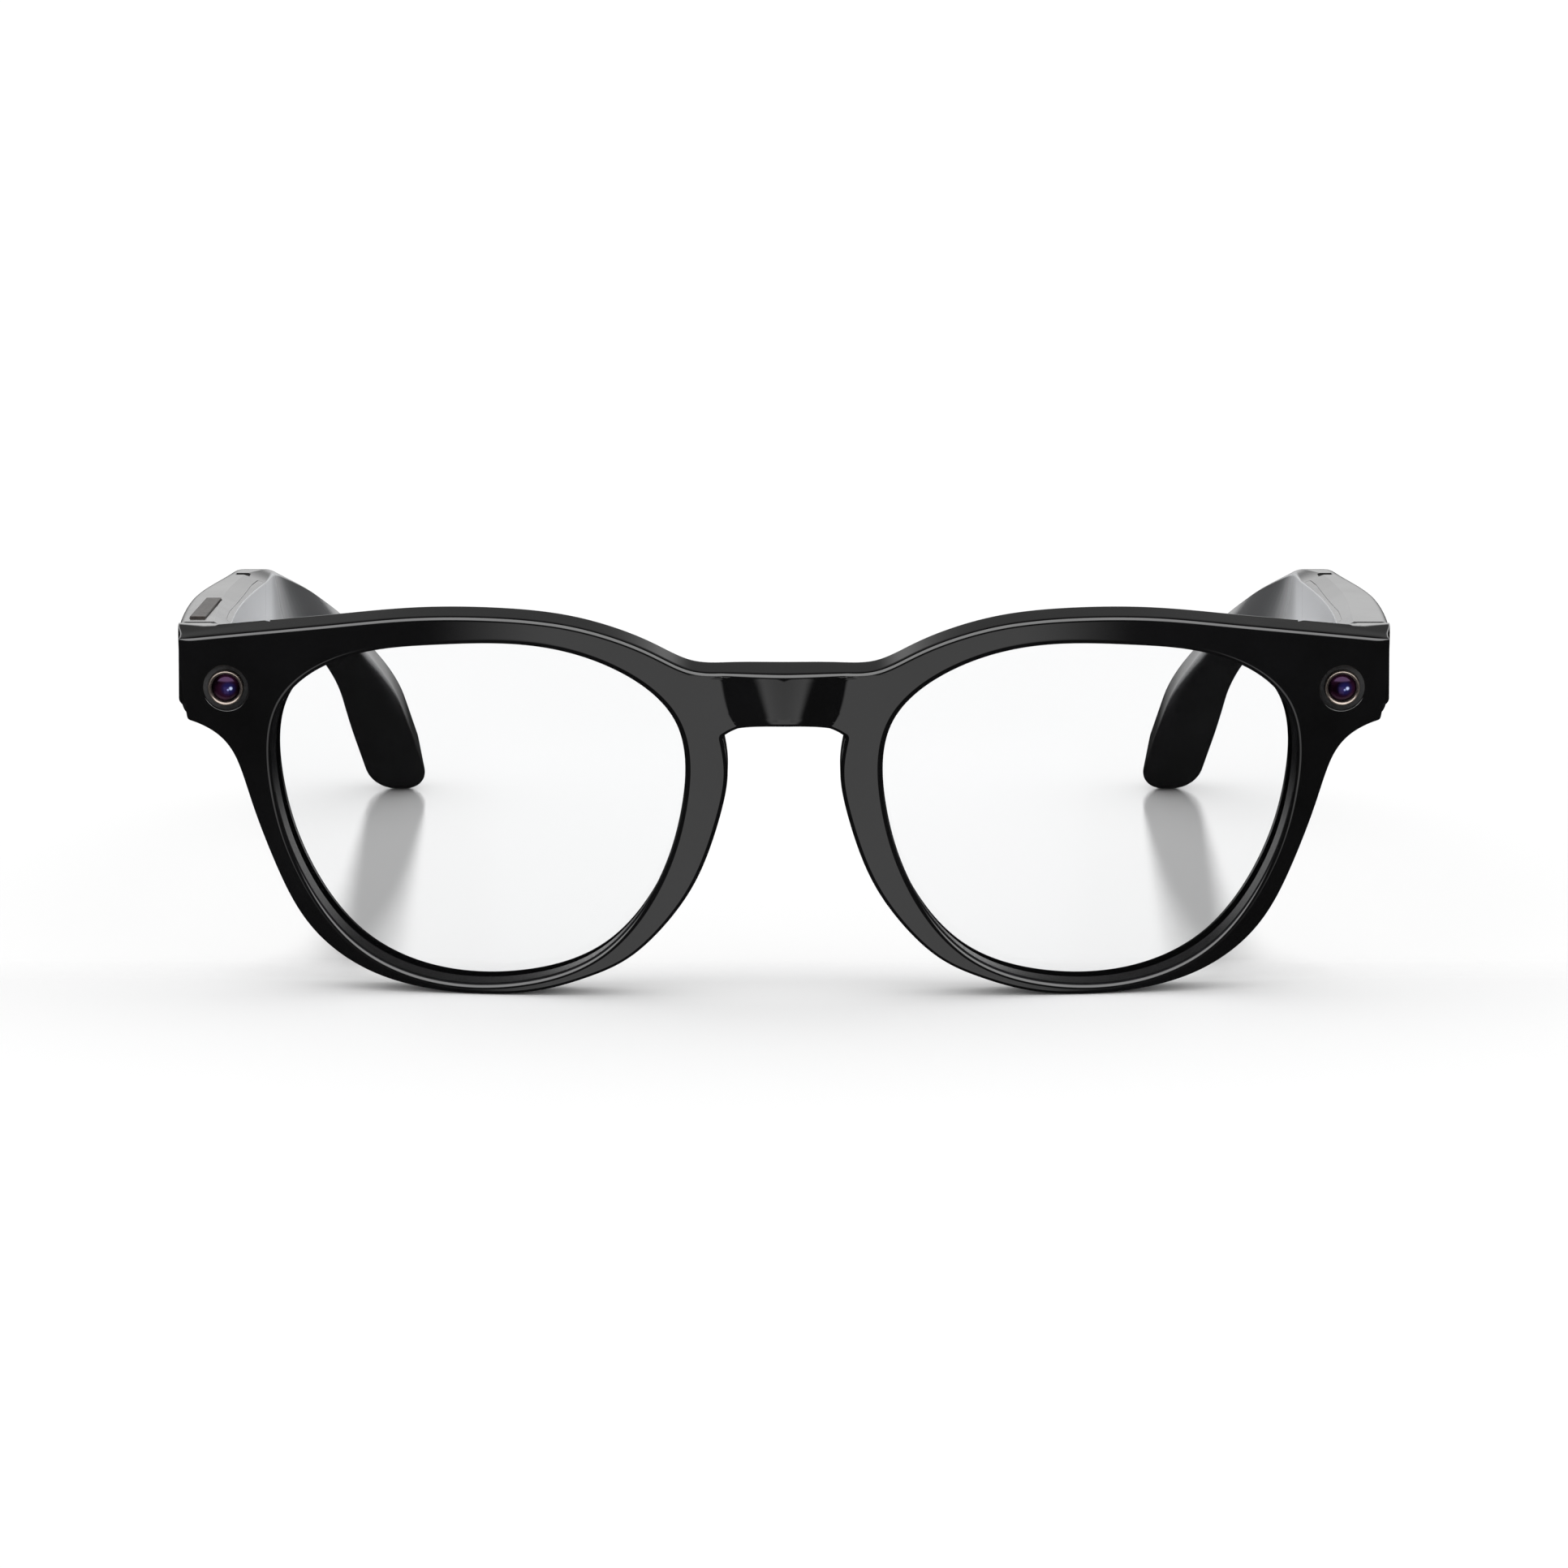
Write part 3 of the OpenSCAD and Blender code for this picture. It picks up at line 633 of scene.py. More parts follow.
    # lens edge
    for a in arc[1:]:
        uv = inn + innn * LENS_EDGE_R * (1 - np.sin(a))
        add(row(uv, face_depth(uv[:, 0], uv[:, 1]) + LENS_EDGE_R * (1 - np.cos(a))), True)
    w0 = face_depth(inn[:, 0], inn[:, 1]) + LENS_EDGE_R
    w1 = lens_depth(inn[:, 0], inn[:, 1], 130) - 0.05
    w1 = np.maximum(w1, w0 + 0.1)
    for t in (0.5, 1):
        w = w0 * (1 - t) + w1 * t
        add(row(leaned(inn, w), w), True)
    w2 = lens_depth(inn[:, 0], inn[:, 1], 128) + 0.05
    for r, w in ((130, w1), (128, w2)):
        deep = leaned(inn, w) + innn * 1.25
        add(row(deep, lens_depth(deep[:, 0], deep[:, 1], r) + (0.05 if r == 128 else -0.05)),
            True)
    w3 = back_depth(inn[:, 0] + innn[:, 0] * 0.3, inn[:, 1] + innn[:, 1] * 0.3) - LENS_BACK_R
    w3 = np.maximum(w3, w2 + 0.15)
    for t in (0, 0.5, 1):
        w = w2 * (1 - t) + w3 * t
        add(row(leaned(inn, w), w), True)
    # back of the lens edge
    wb = w3 + LENS_BACK_R
    inn = leaned(inn, wb)
    for a in arc[1:]:
        uv = inn + innn * LENS_BACK_R * (1 - np.cos(a))
        add(row(uv, w3 + LENS_BACK_R * np.sin(a)), True)
    # back face
    bo = outer_ring(r2)
    bi = inn + innn * LENS_BACK_R
    for t in np.linspace(0, 1, 21)[1:]:
        t = t**1.35
        uv = bi * (1 - t) + bo * t
        w = back_depth(uv[:, 0], uv[:, 1])
        near = (1 - t) ** 6
        add(row(uv, w * (1 - near) + wb * near), True)
    # back edge and the outer wall
    w4 = back_depth(bo[:m, 0], bo[:m, 1])
    for a in arc[1:]:
        uv = out + nrm * (r2 * (1 - np.sin(a)))[:, None]
        add(row(uv, w4 - r2 * (1 - np.cos(a))), False)
    w5 = face_depth(out[:, 0], out[:, 1]) + r1
    w6 = w4 - r2
    rim = WRAP - np.sqrt((WRAP - FRONT_T) ** 2 - out[:, 0] ** 2)
    part = np.clip((rim - 0.4 - w5) / (w6 - w5), 0.2, 0.8)
    knee = w5 + (w6 - w5) * part
    for t in np.linspace(0, 1, 8)[1:]:
        add(row(out, w6 * (1 - t) + knee * t), False)
    for t in np.linspace(0, 1, 9)[1:-1]:
        add(row(out, knee * (1 - t) + w5 * t), False)

    verts, start = [], []
    for p, full in zip(rows, closed):
        start.append(len(verts))
        verts.extend(p if full else p[:m])
    faces = []
    count = len(rows)
    tot = m + seam_n
    for i in range(count):
        k = (i + 1) % count
        full = closed[i] and closed[k]
        a, b = start[i], start[k]
        for j in range(tot if full else m - 1):
            jn = (j + 1) % tot if full else j + 1
            faces.append((a + j, a + jn, b + jn, b + j))
    return tilted(np.array(verts)), faces


def camera_cut(lip):
    """Recess and bore for one camera; the lip follows the wrapped face."""
    seg = 96
    floor = float(wrap(np.array(CAM_X))) + 0.7
    rings = [(2.65 + lip, -3.0, True), (2.65 + lip, -0.02, True), (2.65 + lip * 0.6, 0.015, True),
             (2.65 + lip * 0.25, lip * 0.4, True), (2.65, lip, True), (2.65, floor, False),
             (2.1, floor, False), (2.1, 9.7, False)]
    v, f = [], []
    for r, d, follow in rings:
        for k in range(seg):
            a = 2 * math.pi * k / seg
            u = CAM_X + r * math.cos(a)
            w = float(wrap(np.array(u))) + d if follow else d
            if d == lip:
                w = min(w, floor - 0.02)
            v.append((u, w, CAM_V + r * math.sin(a)))
    for i in range(len(rings) - 1):
        for k in range(seg):
            a, b = i * seg + k, i * seg + (k + 1) % seg
            f.append((a, b, b + seg, a + seg))
    f.append(tuple(range(seg)))
    f.append(tuple((len(rings) - 1) * seg + k for k in range(seg))[::-1])
    return moved(raw_mesh(v, f), tilted)


def make_front():
    v, f = front_half()
    o = raw_mesh(v, f)
    # recalc on an open half may turn it inside out, so the normals are recalculated again once it
    # is closed
    tools = [camera_cut(0.13),
             moved(block(62, 68.8, 9.6, 14.6, 11.7, 18.6), tilted),
             block(61.9, 68.9, 12.1, 20, 11.55, 20.6)]
    bm = bmesh.new()
    bm.from_mesh(o.data)
    # close the open middle for the cuts, and open it again afterwards
    edges = [e for e in bm.edges if e.is_boundary]
    bmesh.ops.contextual_create(bm, geom=edges)
    bmesh.ops.recalc_face_normals(bm, faces=bm.faces)
    bm.to_mesh(o.data)
    bm.free()
    cut(o, tools)
    bm = bmesh.new()
    bm.from_mesh(o.data)
    lids = [g for g in bm.faces if all(abs(w.co.x) < 1e-4 for w in g.verts)]
    bmesh.ops.delete(bm, geom=lids, context="FACES_ONLY")
    for w in bm.verts:
        if abs(w.co.x) < 1e-4:
            w.co.x = 0
    both = bmesh.ops.duplicate(bm, geom=bm.verts[:] + bm.edges[:] + bm.faces[:])["geom"]
    new_v = [g for g in both if isinstance(g, bmesh.types.BMVert)]
    new_f = [g for g in both if isinstance(g, bmesh.types.BMFace)]
    for w in new_v:
        w.co.x = -w.co.x
    bmesh.ops.reverse_faces(bm, faces=new_f)
    bmesh.ops.remove_doubles(bm, verts=bm.verts, dist=1e-4)
    # camera recesses are matte, and the walls of the lens openings are satin
    c, t = math.cos(PANTO), math.sin(PANTO)
    bm.normal_update()
    inside = []
    for f in bm.faces:
        p, n = f.calc_center_median(), f.normal
        u, w, v = abs(p.x), p.y * c + p.z * t, -p.y * t + p.z * c
        r = math.hypot(u - CAM_X, v - CAM_V)
        recess = r < 2.67 and w > wrap(u) + 0.14 and w < 9
        du, dv = u - LENS_X, v
        far = math.hypot(du, dv)
        faced = -(n.x * math.copysign(du, du * p.x) + (-n.y * t + n.z * c) * dv) / far
        wall = (faced > 0.72 and w < wrap(u) + 6.1
                and (abs(du) / 25.4) ** 4 + (abs(dv) / 21.8) ** 4 < 1.12)
        inside.append(1 if recess else 2 if wall else 0)
    bm.to_mesh(o.data)
    bm.free()
    o = finish_piece(o, "front_shell", "front", "front_frame", BLACK, "front_frame")
    o.data.materials.append(MATTE)
    o.data.materials.append(WALL)
    if len(o.data.polygons) == len(inside):
        o.data.polygons.foreach_set("material_index", inside)
    return o


front = make_front()


# ---------------------------------------------------------------- temples
BEND_Y, BEND_R, BEND_A = 97.0, 30.0, 41.0
BEND_L = BEND_R * math.radians(BEND_A)
TIP_L, TIP_H, TEMPLE_H, TEMPLE_T = 30.0, 8.5, 13.0, 6.0
TOP_Z, TEMPLE_Y, IN_X = 21.2, 15.35, 65.2
END_S, CAP_L = BEND_L + TIP_L, TIP_H / 2


def sm(t):
    return float(smooth01(t))


def ramp(s, a, b):
    """Running total of a linear ramp from a to b."""
    return np.where(s <= a, 0, np.where(s >= b, s - (a + b) / 2, (s - a) ** 2 / (2 * (b - a))))


def lean_in(y, d):
    """How far the drop leans in, at depth y and d below the top line."""
    return smooth01((y - 96) / 15) * (1.05 * ramp(d, -0.5, 0.5) - 0.4 * ramp(d, 6, 10)
                                      - 0.4 * ramp(d, 13, 19))


def station(s):
    """One temple section: rounded, with a flat chamfer along the inner top edge."""
    w = 0 if s <= 0 else math.radians(BEND_A) * min(s / BEND_L, 1)
    y = BEND_Y + (s if s <= 0 else BEND_R * math.sin(w) + max(0, s - BEND_L) * math.cos(w))
    z = TOP_Z - BEND_R * (1 - math.cos(w)) - max(0, s - BEND_L) * math.sin(w)
    t = (s - END_S + CAP_L) / CAP_L
    k = 1 if t <= 0 else math.sqrt(max(0.004, 1 - t * t))
    h = (9.9 + (TEMPLE_H - 9.9) * sm((y - TEMPLE_Y) / 24) - (TEMPLE_H - 9.4) * sm((y - 70) / 32)
         - (9.4 - TIP_H) * sm((y - 102) / 20))
    bow = 0 if y > BEND_Y else 0.5 * math.sin(math.pi * (y - TEMPLE_Y) / (BEND_Y - TEMPLE_Y))
    swell, thin = 1.4 * bow, -1.2 * bow
    a = TEMPLE_T / 2 * (0.55 + 0.45 * k) * (1 + 0.1 * sm((s - 5) / 18) + 0.2 * sm((s - 20) / 20))
    a *= 0.4 + 0.6 * k if k < 1 else 1
    a += (swell + thin) / 2
    hk = h * k
    lim = min(a * 0.9, hk * 0.45)
    r = min(0.9 + 1.7 * sm((s + 5) / 25), lim)
    ro = min(1.0 + 1.2 * sm((s + 45) / 45), lim)
    fade = 1 - sm((s + 8) / 14)
    cx = min((1.3 + 0.9 * sm((s + 85) / 85)) * fade + 0.5, a * 1.1)
    cz = min(0.55 * fade + 0.45, hk * 0.35)
    soft = min(0.25 + 0.9 * sm((s + 8) / 20), 1.05 * math.hypot(cx, cz))
    x = IN_X + TEMPLE_T / 2 + bow + (swell - thin) / 2
    # corners, each with its own rounding: outer top, chamfer, inner bottom, outer bottom
    corners = [((a, 0), ro), ((-a + cx, 0), soft * min(1, lim)),
               ((-a, -cz), soft * min(1, lim)), ((-a, -hk), r), ((a, -hk), r)]
    pts = []
    n = len(corners)
    for i in range(n):
        p0, p, p1 = (np.array(corners[(i + d) % n][0], float) for d in (-1, 0, 1))
        d0, d1 = unit(p0 - p), unit(p1 - p)
        half = math.acos(max(-1, min(1, float(np.dot(d0, d1))))) / 2
        rr = corners[i][1]
        cut_back = rr / math.tan(half)
        centre = p + unit(d0 + d1) * rr / math.sin(half)
        a0 = p + d0 * cut_back - centre
        a1 = p + d1 * cut_back - centre
        t0, t1 = math.atan2(a0[1], a0[0]), math.atan2(a1[1], a1[0])
        dt = (t1 - t0 + math.pi) % (2 * math.pi) - math.pi
        seg = 8 if i in (0, 3, 4) else 4
        for q in range(seg + 1):
            u = t0 + dt * q / seg
            pts.append(centre + rr * np.array([math.cos(u), math.sin(u)]))
    pts = np.array(pts)
    b = pts[:, 1] - h * (1 - k) / 2
    py, pz = y + b * math.sin(w), z + b * math.cos(w)
    return np.stack([x + pts[:, 0] - lean_in(py, TOP_Z - pz), py, pz], 1)


def temple_solid():
    s0 = TEMPLE_Y - BEND_Y
    main = list(np.linspace(s0 + 0.25, END_S - CAP_L, 128))
    cap = [END_S - CAP_L + CAP_L * math.sin(math.radians(t))
           for t in (8, 16, 24, 32, 40, 48, 56, 63, 70, 76, 81, 85, 88)]
    first = station(s0 + 0.25)
    mid = first.mean(0)
    secs = []
    # small eased edge at the joint with the front
    for t in (0, 22, 45, 68):
        e = 0.22 * (1 - math.sin(math.radians(t)))
        p = station(s0)
        d = p - mid
        d[:, 1] = 0
        ln = np.linalg.norm(d, axis=1, keepdims=True)
        p = p - d / ln * e
        p[:, 1] = TEMPLE_Y + 0.22 * (1 - math.cos(math.radians(t)))
        secs.append(p)
    secs += [station(s) for s in main + cap]
    n, m = len(secs[0]), len(secs)
    v = np.concatenate(secs)
    f = [(j * n + i, j * n + (i + 1) % n, (j + 1) * n + (i + 1) % n, (j + 1) * n + i)
         for j in range(m - 1) for i in range(n)]
    f.append(tuple(range(n)))
    f.append(tuple(range(m * n - 1, (m - 1) * n - 1, -1)))
    return raw_mesh(v, f)


def cavity(d):
    return [(26 - d, 11.4 - d), (38 - d, 9.8 - d), (72 + d, 9.8 - d), (88 + d, 11.8 - d),
            (88 + d, 19.9 + d), (26 - d, 19.9 + d)]


def rounded(poly, r, seg=5):
    out = []
    n = len(poly)
    for i in range(n):
        p0, p, p1 = (np.array(poly[(i + d) % n], float) for d in (-1, 0, 1))
        d0, d1 = unit(p0 - p), unit(p1 - p)
        half = math.acos(float(np.dot(d0, d1))) / 2
        centre = p + unit(d0 + d1) * r / math.sin(half)
        a0, a1 = p + d0 * r / math.tan(half) - centre, p + d1 * r / math.tan(half) - centre
        t0, t1 = math.atan2(a0[1], a0[0]), math.atan2(a1[1], a1[0])
        dt = (t1 - t0 + math.pi) % (2 * math.pi) - math.pi
        out += [tuple(centre + r * np.array([math.cos(t0 + dt * q / seg),
                                             math.sin(t0 + dt * q / seg)]))
                for q in range(seg + 1)]
    return out


def slot_tool(x, y0, y1, w, z0, z1):
    """Upright slot with round ends."""
    seg = 10
    ring = [(x + w / 2 * math.cos(a), y1 - w / 2 + w / 2 * math.sin(a))
            for a in np.linspace(0, math.pi, seg)]
    ring += [(x + w / 2 * math.cos(a), y0 + w / 2 + w / 2 * math.sin(a))
             for a in np.linspace(math.pi, 2 * math.pi, seg)]
    n = len(ring)
    v = [(px, py, z) for z in (z0, z1) for px, py in ring]
    f = [tuple(range(n)), tuple(range(2 * n - 1, n - 1, -1))]
    f += [(i, i + n, (i + 1) % n + n, (i + 1) % n) for i in range(n)]
    return raw_mesh(v, f)


def make_temple(side):
    left = side == "left"
    tools = [prism(cavity(0), 66.0, 70.0), prism(rounded(cavity(0.65), 1.2), 60, 66.8),
             turned([(1.95, 13.5), (1.95, 20.5)], (64.9, 15.2, 0), 64, "z"),
             block(60, 66.85, 15, 18.1, 15.6, 17.8), block(60, 66.85, 17.5, 25.1, 13.7, 19.5),
             block(67.4, 69.2, 65, 73, 5, 11),
             turned([(0.4, 5), (0.4, 11)], (68.3, 58, 0), 24, "z"),
             block(67.6, 69.4, 88.6, 91.6, 20.4, 24)]
    if not left:
        tools.append(slot_tool(69.3, 19.2, 49.8, 2.0, 19, 24))
    shell = cut(temple_solid(), tools)
    cover = cut(temple_solid(), [prism(rounded(cavity(0.6), 1.15), 60, 66.75)], "INTERSECT")
    if left:
        cut(cover, [block(60, 70, 30.8, 37.2, 15, 17)])
    else:
        cut(cover, [turned([(0.65, 60), (0.65, 70)], (0, 30, 17.6), 32, "x")])
    flip = not left
    finish_piece(shell, "temple_body_" + side, "temple_" + side, "temple_plastic", TEMPLE_BLACK,
                 "temple_shell_" + side, flip=flip, sharp=30)
    finish_piece(cover, "temple_inner_" + side, "temple_" + side, "cover_plastic", TEMPLE_BLACK,
                 "temple_cover_" + side, flip=flip, sharp=30)


for temple_side in ("right", "left"):
    make_temple(temple_side)


# ---------------------------------------------------------------- lenses
def make_lens(side):
    """Spherical lens, 2 mm thick, cut to the opening and eased at the rim."""
    edge = spline(LENS_CTRL, 24)
    nrm = normals2(edge, True)
    rings = []
    fade = list(np.linspace(0.04, 0.94, 19)) + [0.975]
    for t in fade:
        rings.append(((edge + nrm * 1.2) * t, 0))
    rings += [(edge + nrm * 1.0, 0), (edge + nrm * 1.15, 0.05), (edge + nrm * 1.2, 0.2)]
    front = [(p + [LENS_X, 0], e) for p, e in rings]
    n = len(edge)
    v, f = [], []
    for surf in (0, 1):
        for p, e in (front if surf == 0 else front[::-1]):
            w = lens_depth(p[:, 0], p[:, 1], 130 if surf == 0 else 128)
            w = w + e if surf == 0 else w - e
            v.append(np.stack([p[:, 0], w, p[:, 1]], 1))
    m = len(v)
    v = np.concatenate(v)
    c0 = np.array([[LENS_X, lens_depth(np.array(LENS_X), np.array(0.0), 130), 0]])
    c1 = np.array([[LENS_X, lens_depth(np.array(LENS_X), np.array(0.0), 128), 0]])
    v = np.concatenate([v, c0, c1])
    for i in range(m - 1):
        f += [(i * n + j, i * n + (j + 1) % n, (i + 1) * n + (j + 1) % n, (i + 1) * n + j)
              for j in range(n)]
    f += [(m * n, (j + 1) % n, j) for j in range(n)]
    f += [(m * n + 1, (m - 1) * n + j, (m - 1) * n + (j + 1) % n) for j in range(n)]
    o = raw_mesh(tilted(v), f)
    return finish_piece(o, "lens_clear_" + side, "front", "lens", LENS, "lens_" + side,
                        flip=side == "right", sharp=60)


for lens_side in ("right", "left"):
    make_lens(lens_side)


# ---------------------------------------------------------------- cameras
def make_camera(side):
    """Satin ring with a turned lip, and the domed coated window inside it."""
    w0 = float(wrap(np.array(CAM_X)))
    lip = w0 - 0.15
    ring = [(1.65, 9.55), (1.65, lip + 0.32), (1.68, lip + 0.2), (1.76, lip + 0.1),
            (1.84, lip + 0.03), (1.9, lip), (1.97, lip + 0.02), (2.03, lip + 0.09),
            (2.05, lip + 0.2), (2.05, 9.55)]
    seg = 96
    v, f = [], []
    for r, t in ring:
        v += [(CAM_X + r * math.cos(2 * math.pi * k / seg), t,
               CAM_V + r * math.sin(2 * math.pi * k / seg)) for k in range(seg)]
    n = len(ring)
    f = [(i * seg + k, i * seg + (k + 1) % seg, (i + 1) % n * seg + (k + 1) % seg,
          (i + 1) % n * seg + k) for i in range(n) for k in range(seg)]
    o = moved(raw_mesh(v, f), tilted)
    flip = side == "right"
    finish_piece(o, "camera_ring_" + side, "front", "camera_trim", RING, "camera_trim_" + side,
                 flip=flip, sharp=50)
    r_out, dome = 1.62, 2.5
    prof = [(0.0, 0.0)]
    for r in (0.2, 0.4, 0.6, 0.8, 1.0, 1.2, 1.4, 1.55):
        prof.append((r, dome - math.sqrt(dome**2 - r * r)))
    edge = dome - math.sqrt(dome**2 - r_out**2)
    prof += [(1.6, edge + 0.02), (r_out, edge + 0.08), (r_out, 0.9), (0.0, 0.9)]
    rings = [(max(r, 0.004), w0 + t) for r, t in prof]
    o = moved(turned(rings, (CAM_X, 0, CAM_V), seg), tilted)
    mid = to_row(tilted([[-CAM_X if flip else CAM_X, w0, CAM_V]]))[0]
    glass = camera_glass("camera_window_" + side, [float(k) for k in mid])
    finish_piece(o, "camera_glass_" + side, "front", "camera_window", glass,
                 "camera_window_" + side, flip=flip, sharp=50)


for camera_side in ("right", "left"):
    make_camera(camera_side)


# ---------------------------------------------------------------- carried-over parts
FINISH = [("camera_module", HOUSING, 0.08), ("camera_board", BOARD, 0.04),
          ("front_flex", FLEX, 0.0), ("charge_contacts", GOLD, 0.08), ("hinge_front", STEEL, 0.1),
          ("hinge_pin", SCREW, 0.1), ("endpiece_cap", MATTE, 0.1), ("endpiece_screws", SCREW, 0.05),
          ("hinge_temple", STEEL, 0.1), ("hinge_screws", SCREW, 0.06), ("main_board", BOARD, 0.04),
          ("touchpad_film", FLEX, 0.0), ("speaker_grille", GRILLE, 0.05), ("speaker", MATTE, 0.15),
          ("top_vent", GRILLE, 0.05), ("microphone", CAN, 0.08), ("button_switch", HOUSING, 0.08),
          ("status_led", LED, 0.08), ("capture_button", KEY, 0.16), ("battery", FOIL, 0.3),
          ("power_board", BOARD, 0.04), ("slide_switch", HOUSING, 0.08),
          ("power_switch", SLIDER, 0.14)]
for node_name, node in sorted(NODES.items()):
    found = [f for f in FINISH if node_name.startswith(f[0])]
    if not found or node.hide_render:
        continue
    _, node_mat, width = max(found, key=lambda f: len(f[0]))
    node.data.materials.clear()
    node.data.materials.append(node_mat)
    if width:
        weld = node.modifiers.new("weld", "WELD")
        weld.merge_threshold = 1e-6
        bev = node.modifiers.new("bevel", "BEVEL")
        bev.width = width / 1000
        bev.segments = 3
        bev.limit_method = "ANGLE"
        bev.angle_limit = math.radians(35)
        bev.harden_normals = True


# ---------------------------------------------------------------- stage, light, camera
def floor_material():
    """White floor; behind the front it also mirrors softly, as a polished table does."""
    mat = bpy.data.materials.new("floor_white")
    nt, nodes, links, bsdf = nodes_of(mat)
    tex = noise(nt, 4, 2, 0.5)
    links.new(tinted(nt, tex, (0.975, 0.975, 0.975), (0.985, 0.985, 0.985)).outputs["Color"],
              bsdf.inputs["Base Color"])
    bsdf.inputs["Specular IOR Level"].default_value = 0.0
    bsdf.inputs["Roughness"].default_value = 0.9
    gloss = nodes.new("ShaderNodeBsdfGlossy")
    gloss.inputs["Roughness"].default_value = 0.0
    gloss.inputs["Color"].default_value = (1, 1, 1, 1)
    # a fine random tilt blurs the mirror image
    coord = nodes.new("ShaderNodeTexCoord")
    grain = nodes.new("ShaderNodeTexWhiteNoise")
    links.new(coord.outputs["Object"], grain.inputs["Vector"])
    centre = nodes.new("ShaderNodeVectorMath")
    centre.operation = "SUBTRACT"
    centre.inputs[1].default_value = (0.5, 0.5, 0.5)
    links.new(grain.outputs["Color"], centre.inputs[0])
    scale = nodes.new("ShaderNodeVectorMath")
    scale.operation = "MULTIPLY"
    scale.inputs[1].default_value = (0.06, 0.10, 0.0)
    links.new(centre.outputs[0], scale.inputs[0])
    tilt = nodes.new("ShaderNodeVectorMath")
    tilt.operation = "ADD"
    tilt.inputs[1].default_value = (0, 0, 1)
    links.new(scale.outputs[0], tilt.inputs[0])
    norm = nodes.new("ShaderNodeVectorMath")
    norm.operation = "NORMALIZE"
    links.new(tilt.outputs[0], norm.inputs[0])
    links.new(norm.outputs[0], gloss.inputs["Normal"])
    sep = nodes.new("ShaderNodeSeparateXYZ")
    links.new(coord.outputs["Object"], sep.inputs[0])
    r = nodes.new("ShaderNodeMapRange")
    for key, value in (("From Min", -0.056), ("From Max", -0.044), ("To Min", 0.0),
                       ("To Max", 0.5)):
        r.inputs[key].default_value = value
    links.new(sep.outputs["Y"], r.inputs["Value"])
    mix = nodes.new("ShaderNodeMixShader")
    links.new(r.outputs["Result"], mix.inputs[0])
    links.new(bsdf.outputs[0], mix.inputs[1])
    links.new(gloss.outputs[0], mix.inputs[2])
    links.new(mix.outputs[0], nodes["Material Output"].inputs["Surface"])
    return mat


def make_floor():
    me = bpy.data.meshes.new("floor")
    d = 30.0
    me.from_pydata([(-d, -d, 0), (d, -d, 0), (d, d, 0), (-d, d, 0)], [], [(0, 1, 2, 3)])
    o = bpy.data.objects.new("floor", me)
    bpy.context.scene.collection.objects.link(o)
    me.materials.append(floor_material())
    o.visible_glossy = False


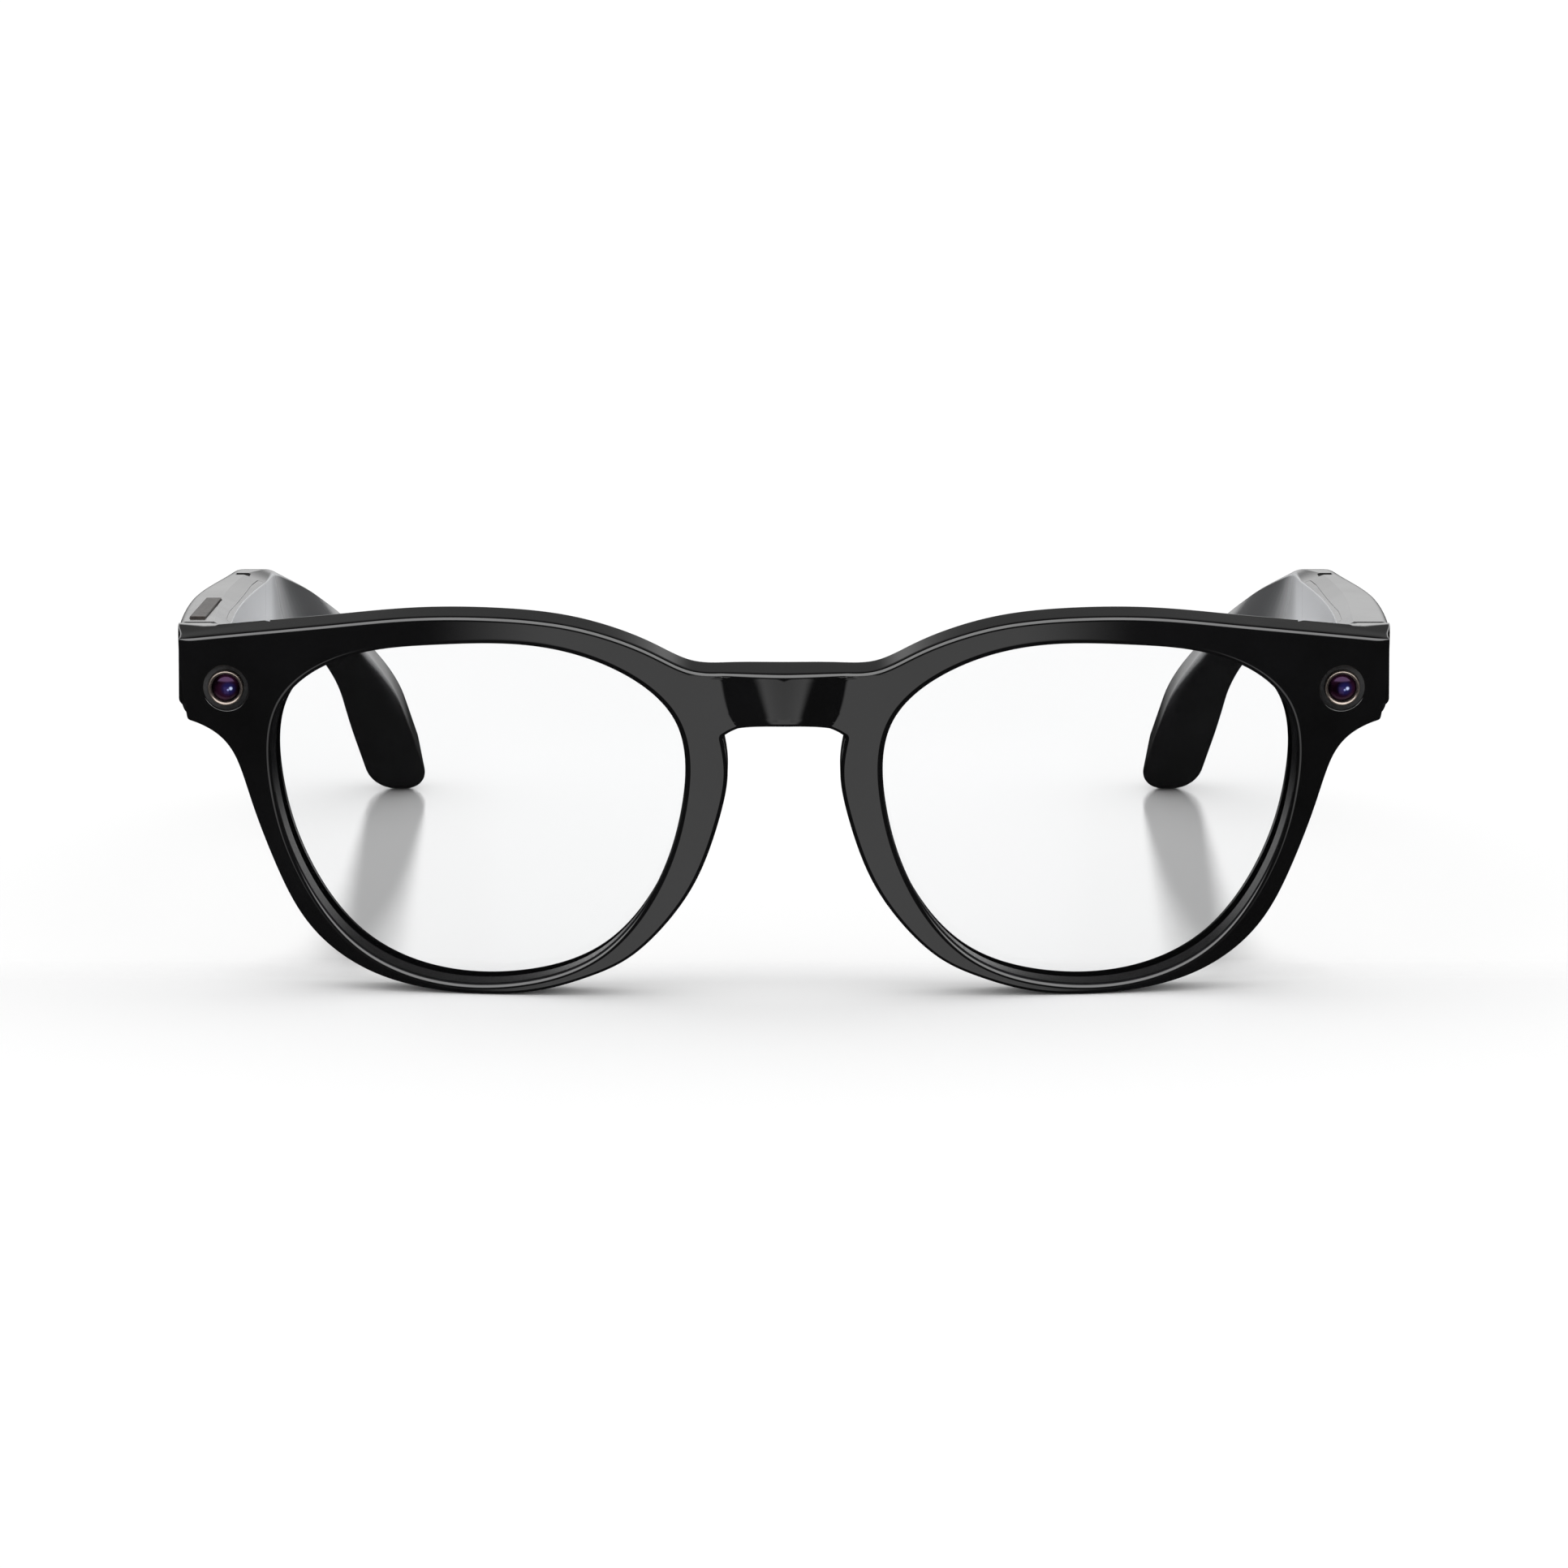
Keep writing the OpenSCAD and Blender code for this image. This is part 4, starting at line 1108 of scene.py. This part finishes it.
def make_world():
    """Soft studio: white to the eye, with cards and dark gaps in what gloss reflects."""
    world = bpy.data.worlds.new("studio")
    bpy.context.scene.world = world
    world.use_nodes = True
    nt = world.node_tree
    nodes, links = nt.nodes, nt.links
    nodes.clear()

    def calc(op, a, b=None, c=None):
        n = nodes.new("ShaderNodeMath")
        n.operation = op
        for i, x in enumerate((a, b, c)):
            if x is None:
                continue
            if isinstance(x, (int, float)):
                n.inputs[i].default_value = x
            else:
                links.new(x, n.inputs[i])
        return n.outputs[0]

    def step(x, lo, hi, to0=0.0, to1=1.0):
        n = nodes.new("ShaderNodeMapRange")
        n.interpolation_type = "SMOOTHSTEP"
        links.new(x, n.inputs["Value"])
        for k, v in (("From Min", lo), ("From Max", hi), ("To Min", to0), ("To Max", to1)):
            n.inputs[k].default_value = v
        return n.outputs["Result"]

    coord = nodes.new("ShaderNodeTexCoord")
    sep = nodes.new("ShaderNodeSeparateXYZ")
    links.new(coord.outputs["Generated"], sep.inputs[0])
    x, y, z = sep.outputs
    el = calc("MULTIPLY", calc("ARCSINE", z), 180 / math.pi)
    az = calc("MULTIPLY", calc("ARCTAN2", x, calc("MULTIPLY", y, -1.0)), 180 / math.pi)
    off = calc("ABSOLUTE", az)
    # low card straight ahead, seen in the front face
    low = calc("MULTIPLY", step(off, 12, 19, 1, 0),
               calc("MULTIPLY", step(el, -52, -42), step(el, -12, -6, 1, 0)))
    # high card in front, seen in the top front edge
    high = calc("MULTIPLY", step(off, 70, 95, 1, 0),
                calc("MULTIPLY", step(el, 14, 26), step(el, 84, 89, 1, 0)))
    # pale wall behind, seen in the temple tops
    back = calc("MULTIPLY", step(off, 80, 100), calc("MULTIPLY", step(el, -9, 0),
                                                     step(el, 6, 15, 1, 0.12)))
    back = calc("MULTIPLY", back, step(el, 28, 45, 1, 0.15))
    gloss = calc("ADD", calc("MULTIPLY", low, 1.15), calc("MULTIPLY", high, 5.0))
    gloss = calc("ADD", gloss, calc("MULTIPLY", back, 0.8))
    gloss = calc("ADD", gloss, 0.01)
    path = nodes.new("ShaderNodeLightPath")
    is_gloss = path.outputs["Is Glossy Ray"]
    bg_white = nodes.new("ShaderNodeBackground")
    bg_white.inputs["Color"].default_value = (1, 1, 1, 1)
    bg_white.inputs["Strength"].default_value = 1.06
    bg_gloss = nodes.new("ShaderNodeBackground")
    bg_gloss.inputs["Color"].default_value = (1, 1, 1, 1)
    links.new(gloss, bg_gloss.inputs["Strength"])
    mix = nodes.new("ShaderNodeMixShader")
    # a perfectly sharp mirror is only the floor's, which reflects a white room
    blurred = calc("MULTIPLY", is_gloss,
                   calc("SUBTRACT", 1.0, path.outputs["Is Singular Ray"]))
    links.new(blurred, mix.inputs[0])
    links.new(bg_white.outputs[0], mix.inputs[1])
    links.new(bg_gloss.outputs[0], mix.inputs[2])
    out = nodes.new("ShaderNodeOutputWorld")
    links.new(mix.outputs[0], out.inputs["Surface"])


def make_camera_view():
    el = math.radians(5.8)
    eye = np.array([0, -950 * math.cos(el), 3.6 + 950 * math.sin(el)])
    aim = np.array([0, 0, 3.6])
    p, q = to_row(np.array([eye, aim]))
    cam = bpy.data.cameras.new("camera")
    cam.lens, cam.sensor_width, cam.clip_start, cam.clip_end = 188.2, 36, 0.01, 100
    o = bpy.data.objects.new("camera", cam)
    bpy.context.scene.collection.objects.link(o)
    o.location = Vector(p)
    o.rotation_euler = Vector(q - p).to_track_quat("-Z", "Y").to_euler()
    bpy.context.scene.camera = o


make_floor()
make_world()
make_camera_view()
scene = bpy.context.scene
scene.view_settings.view_transform = "Standard"
scene.view_settings.look = "None"

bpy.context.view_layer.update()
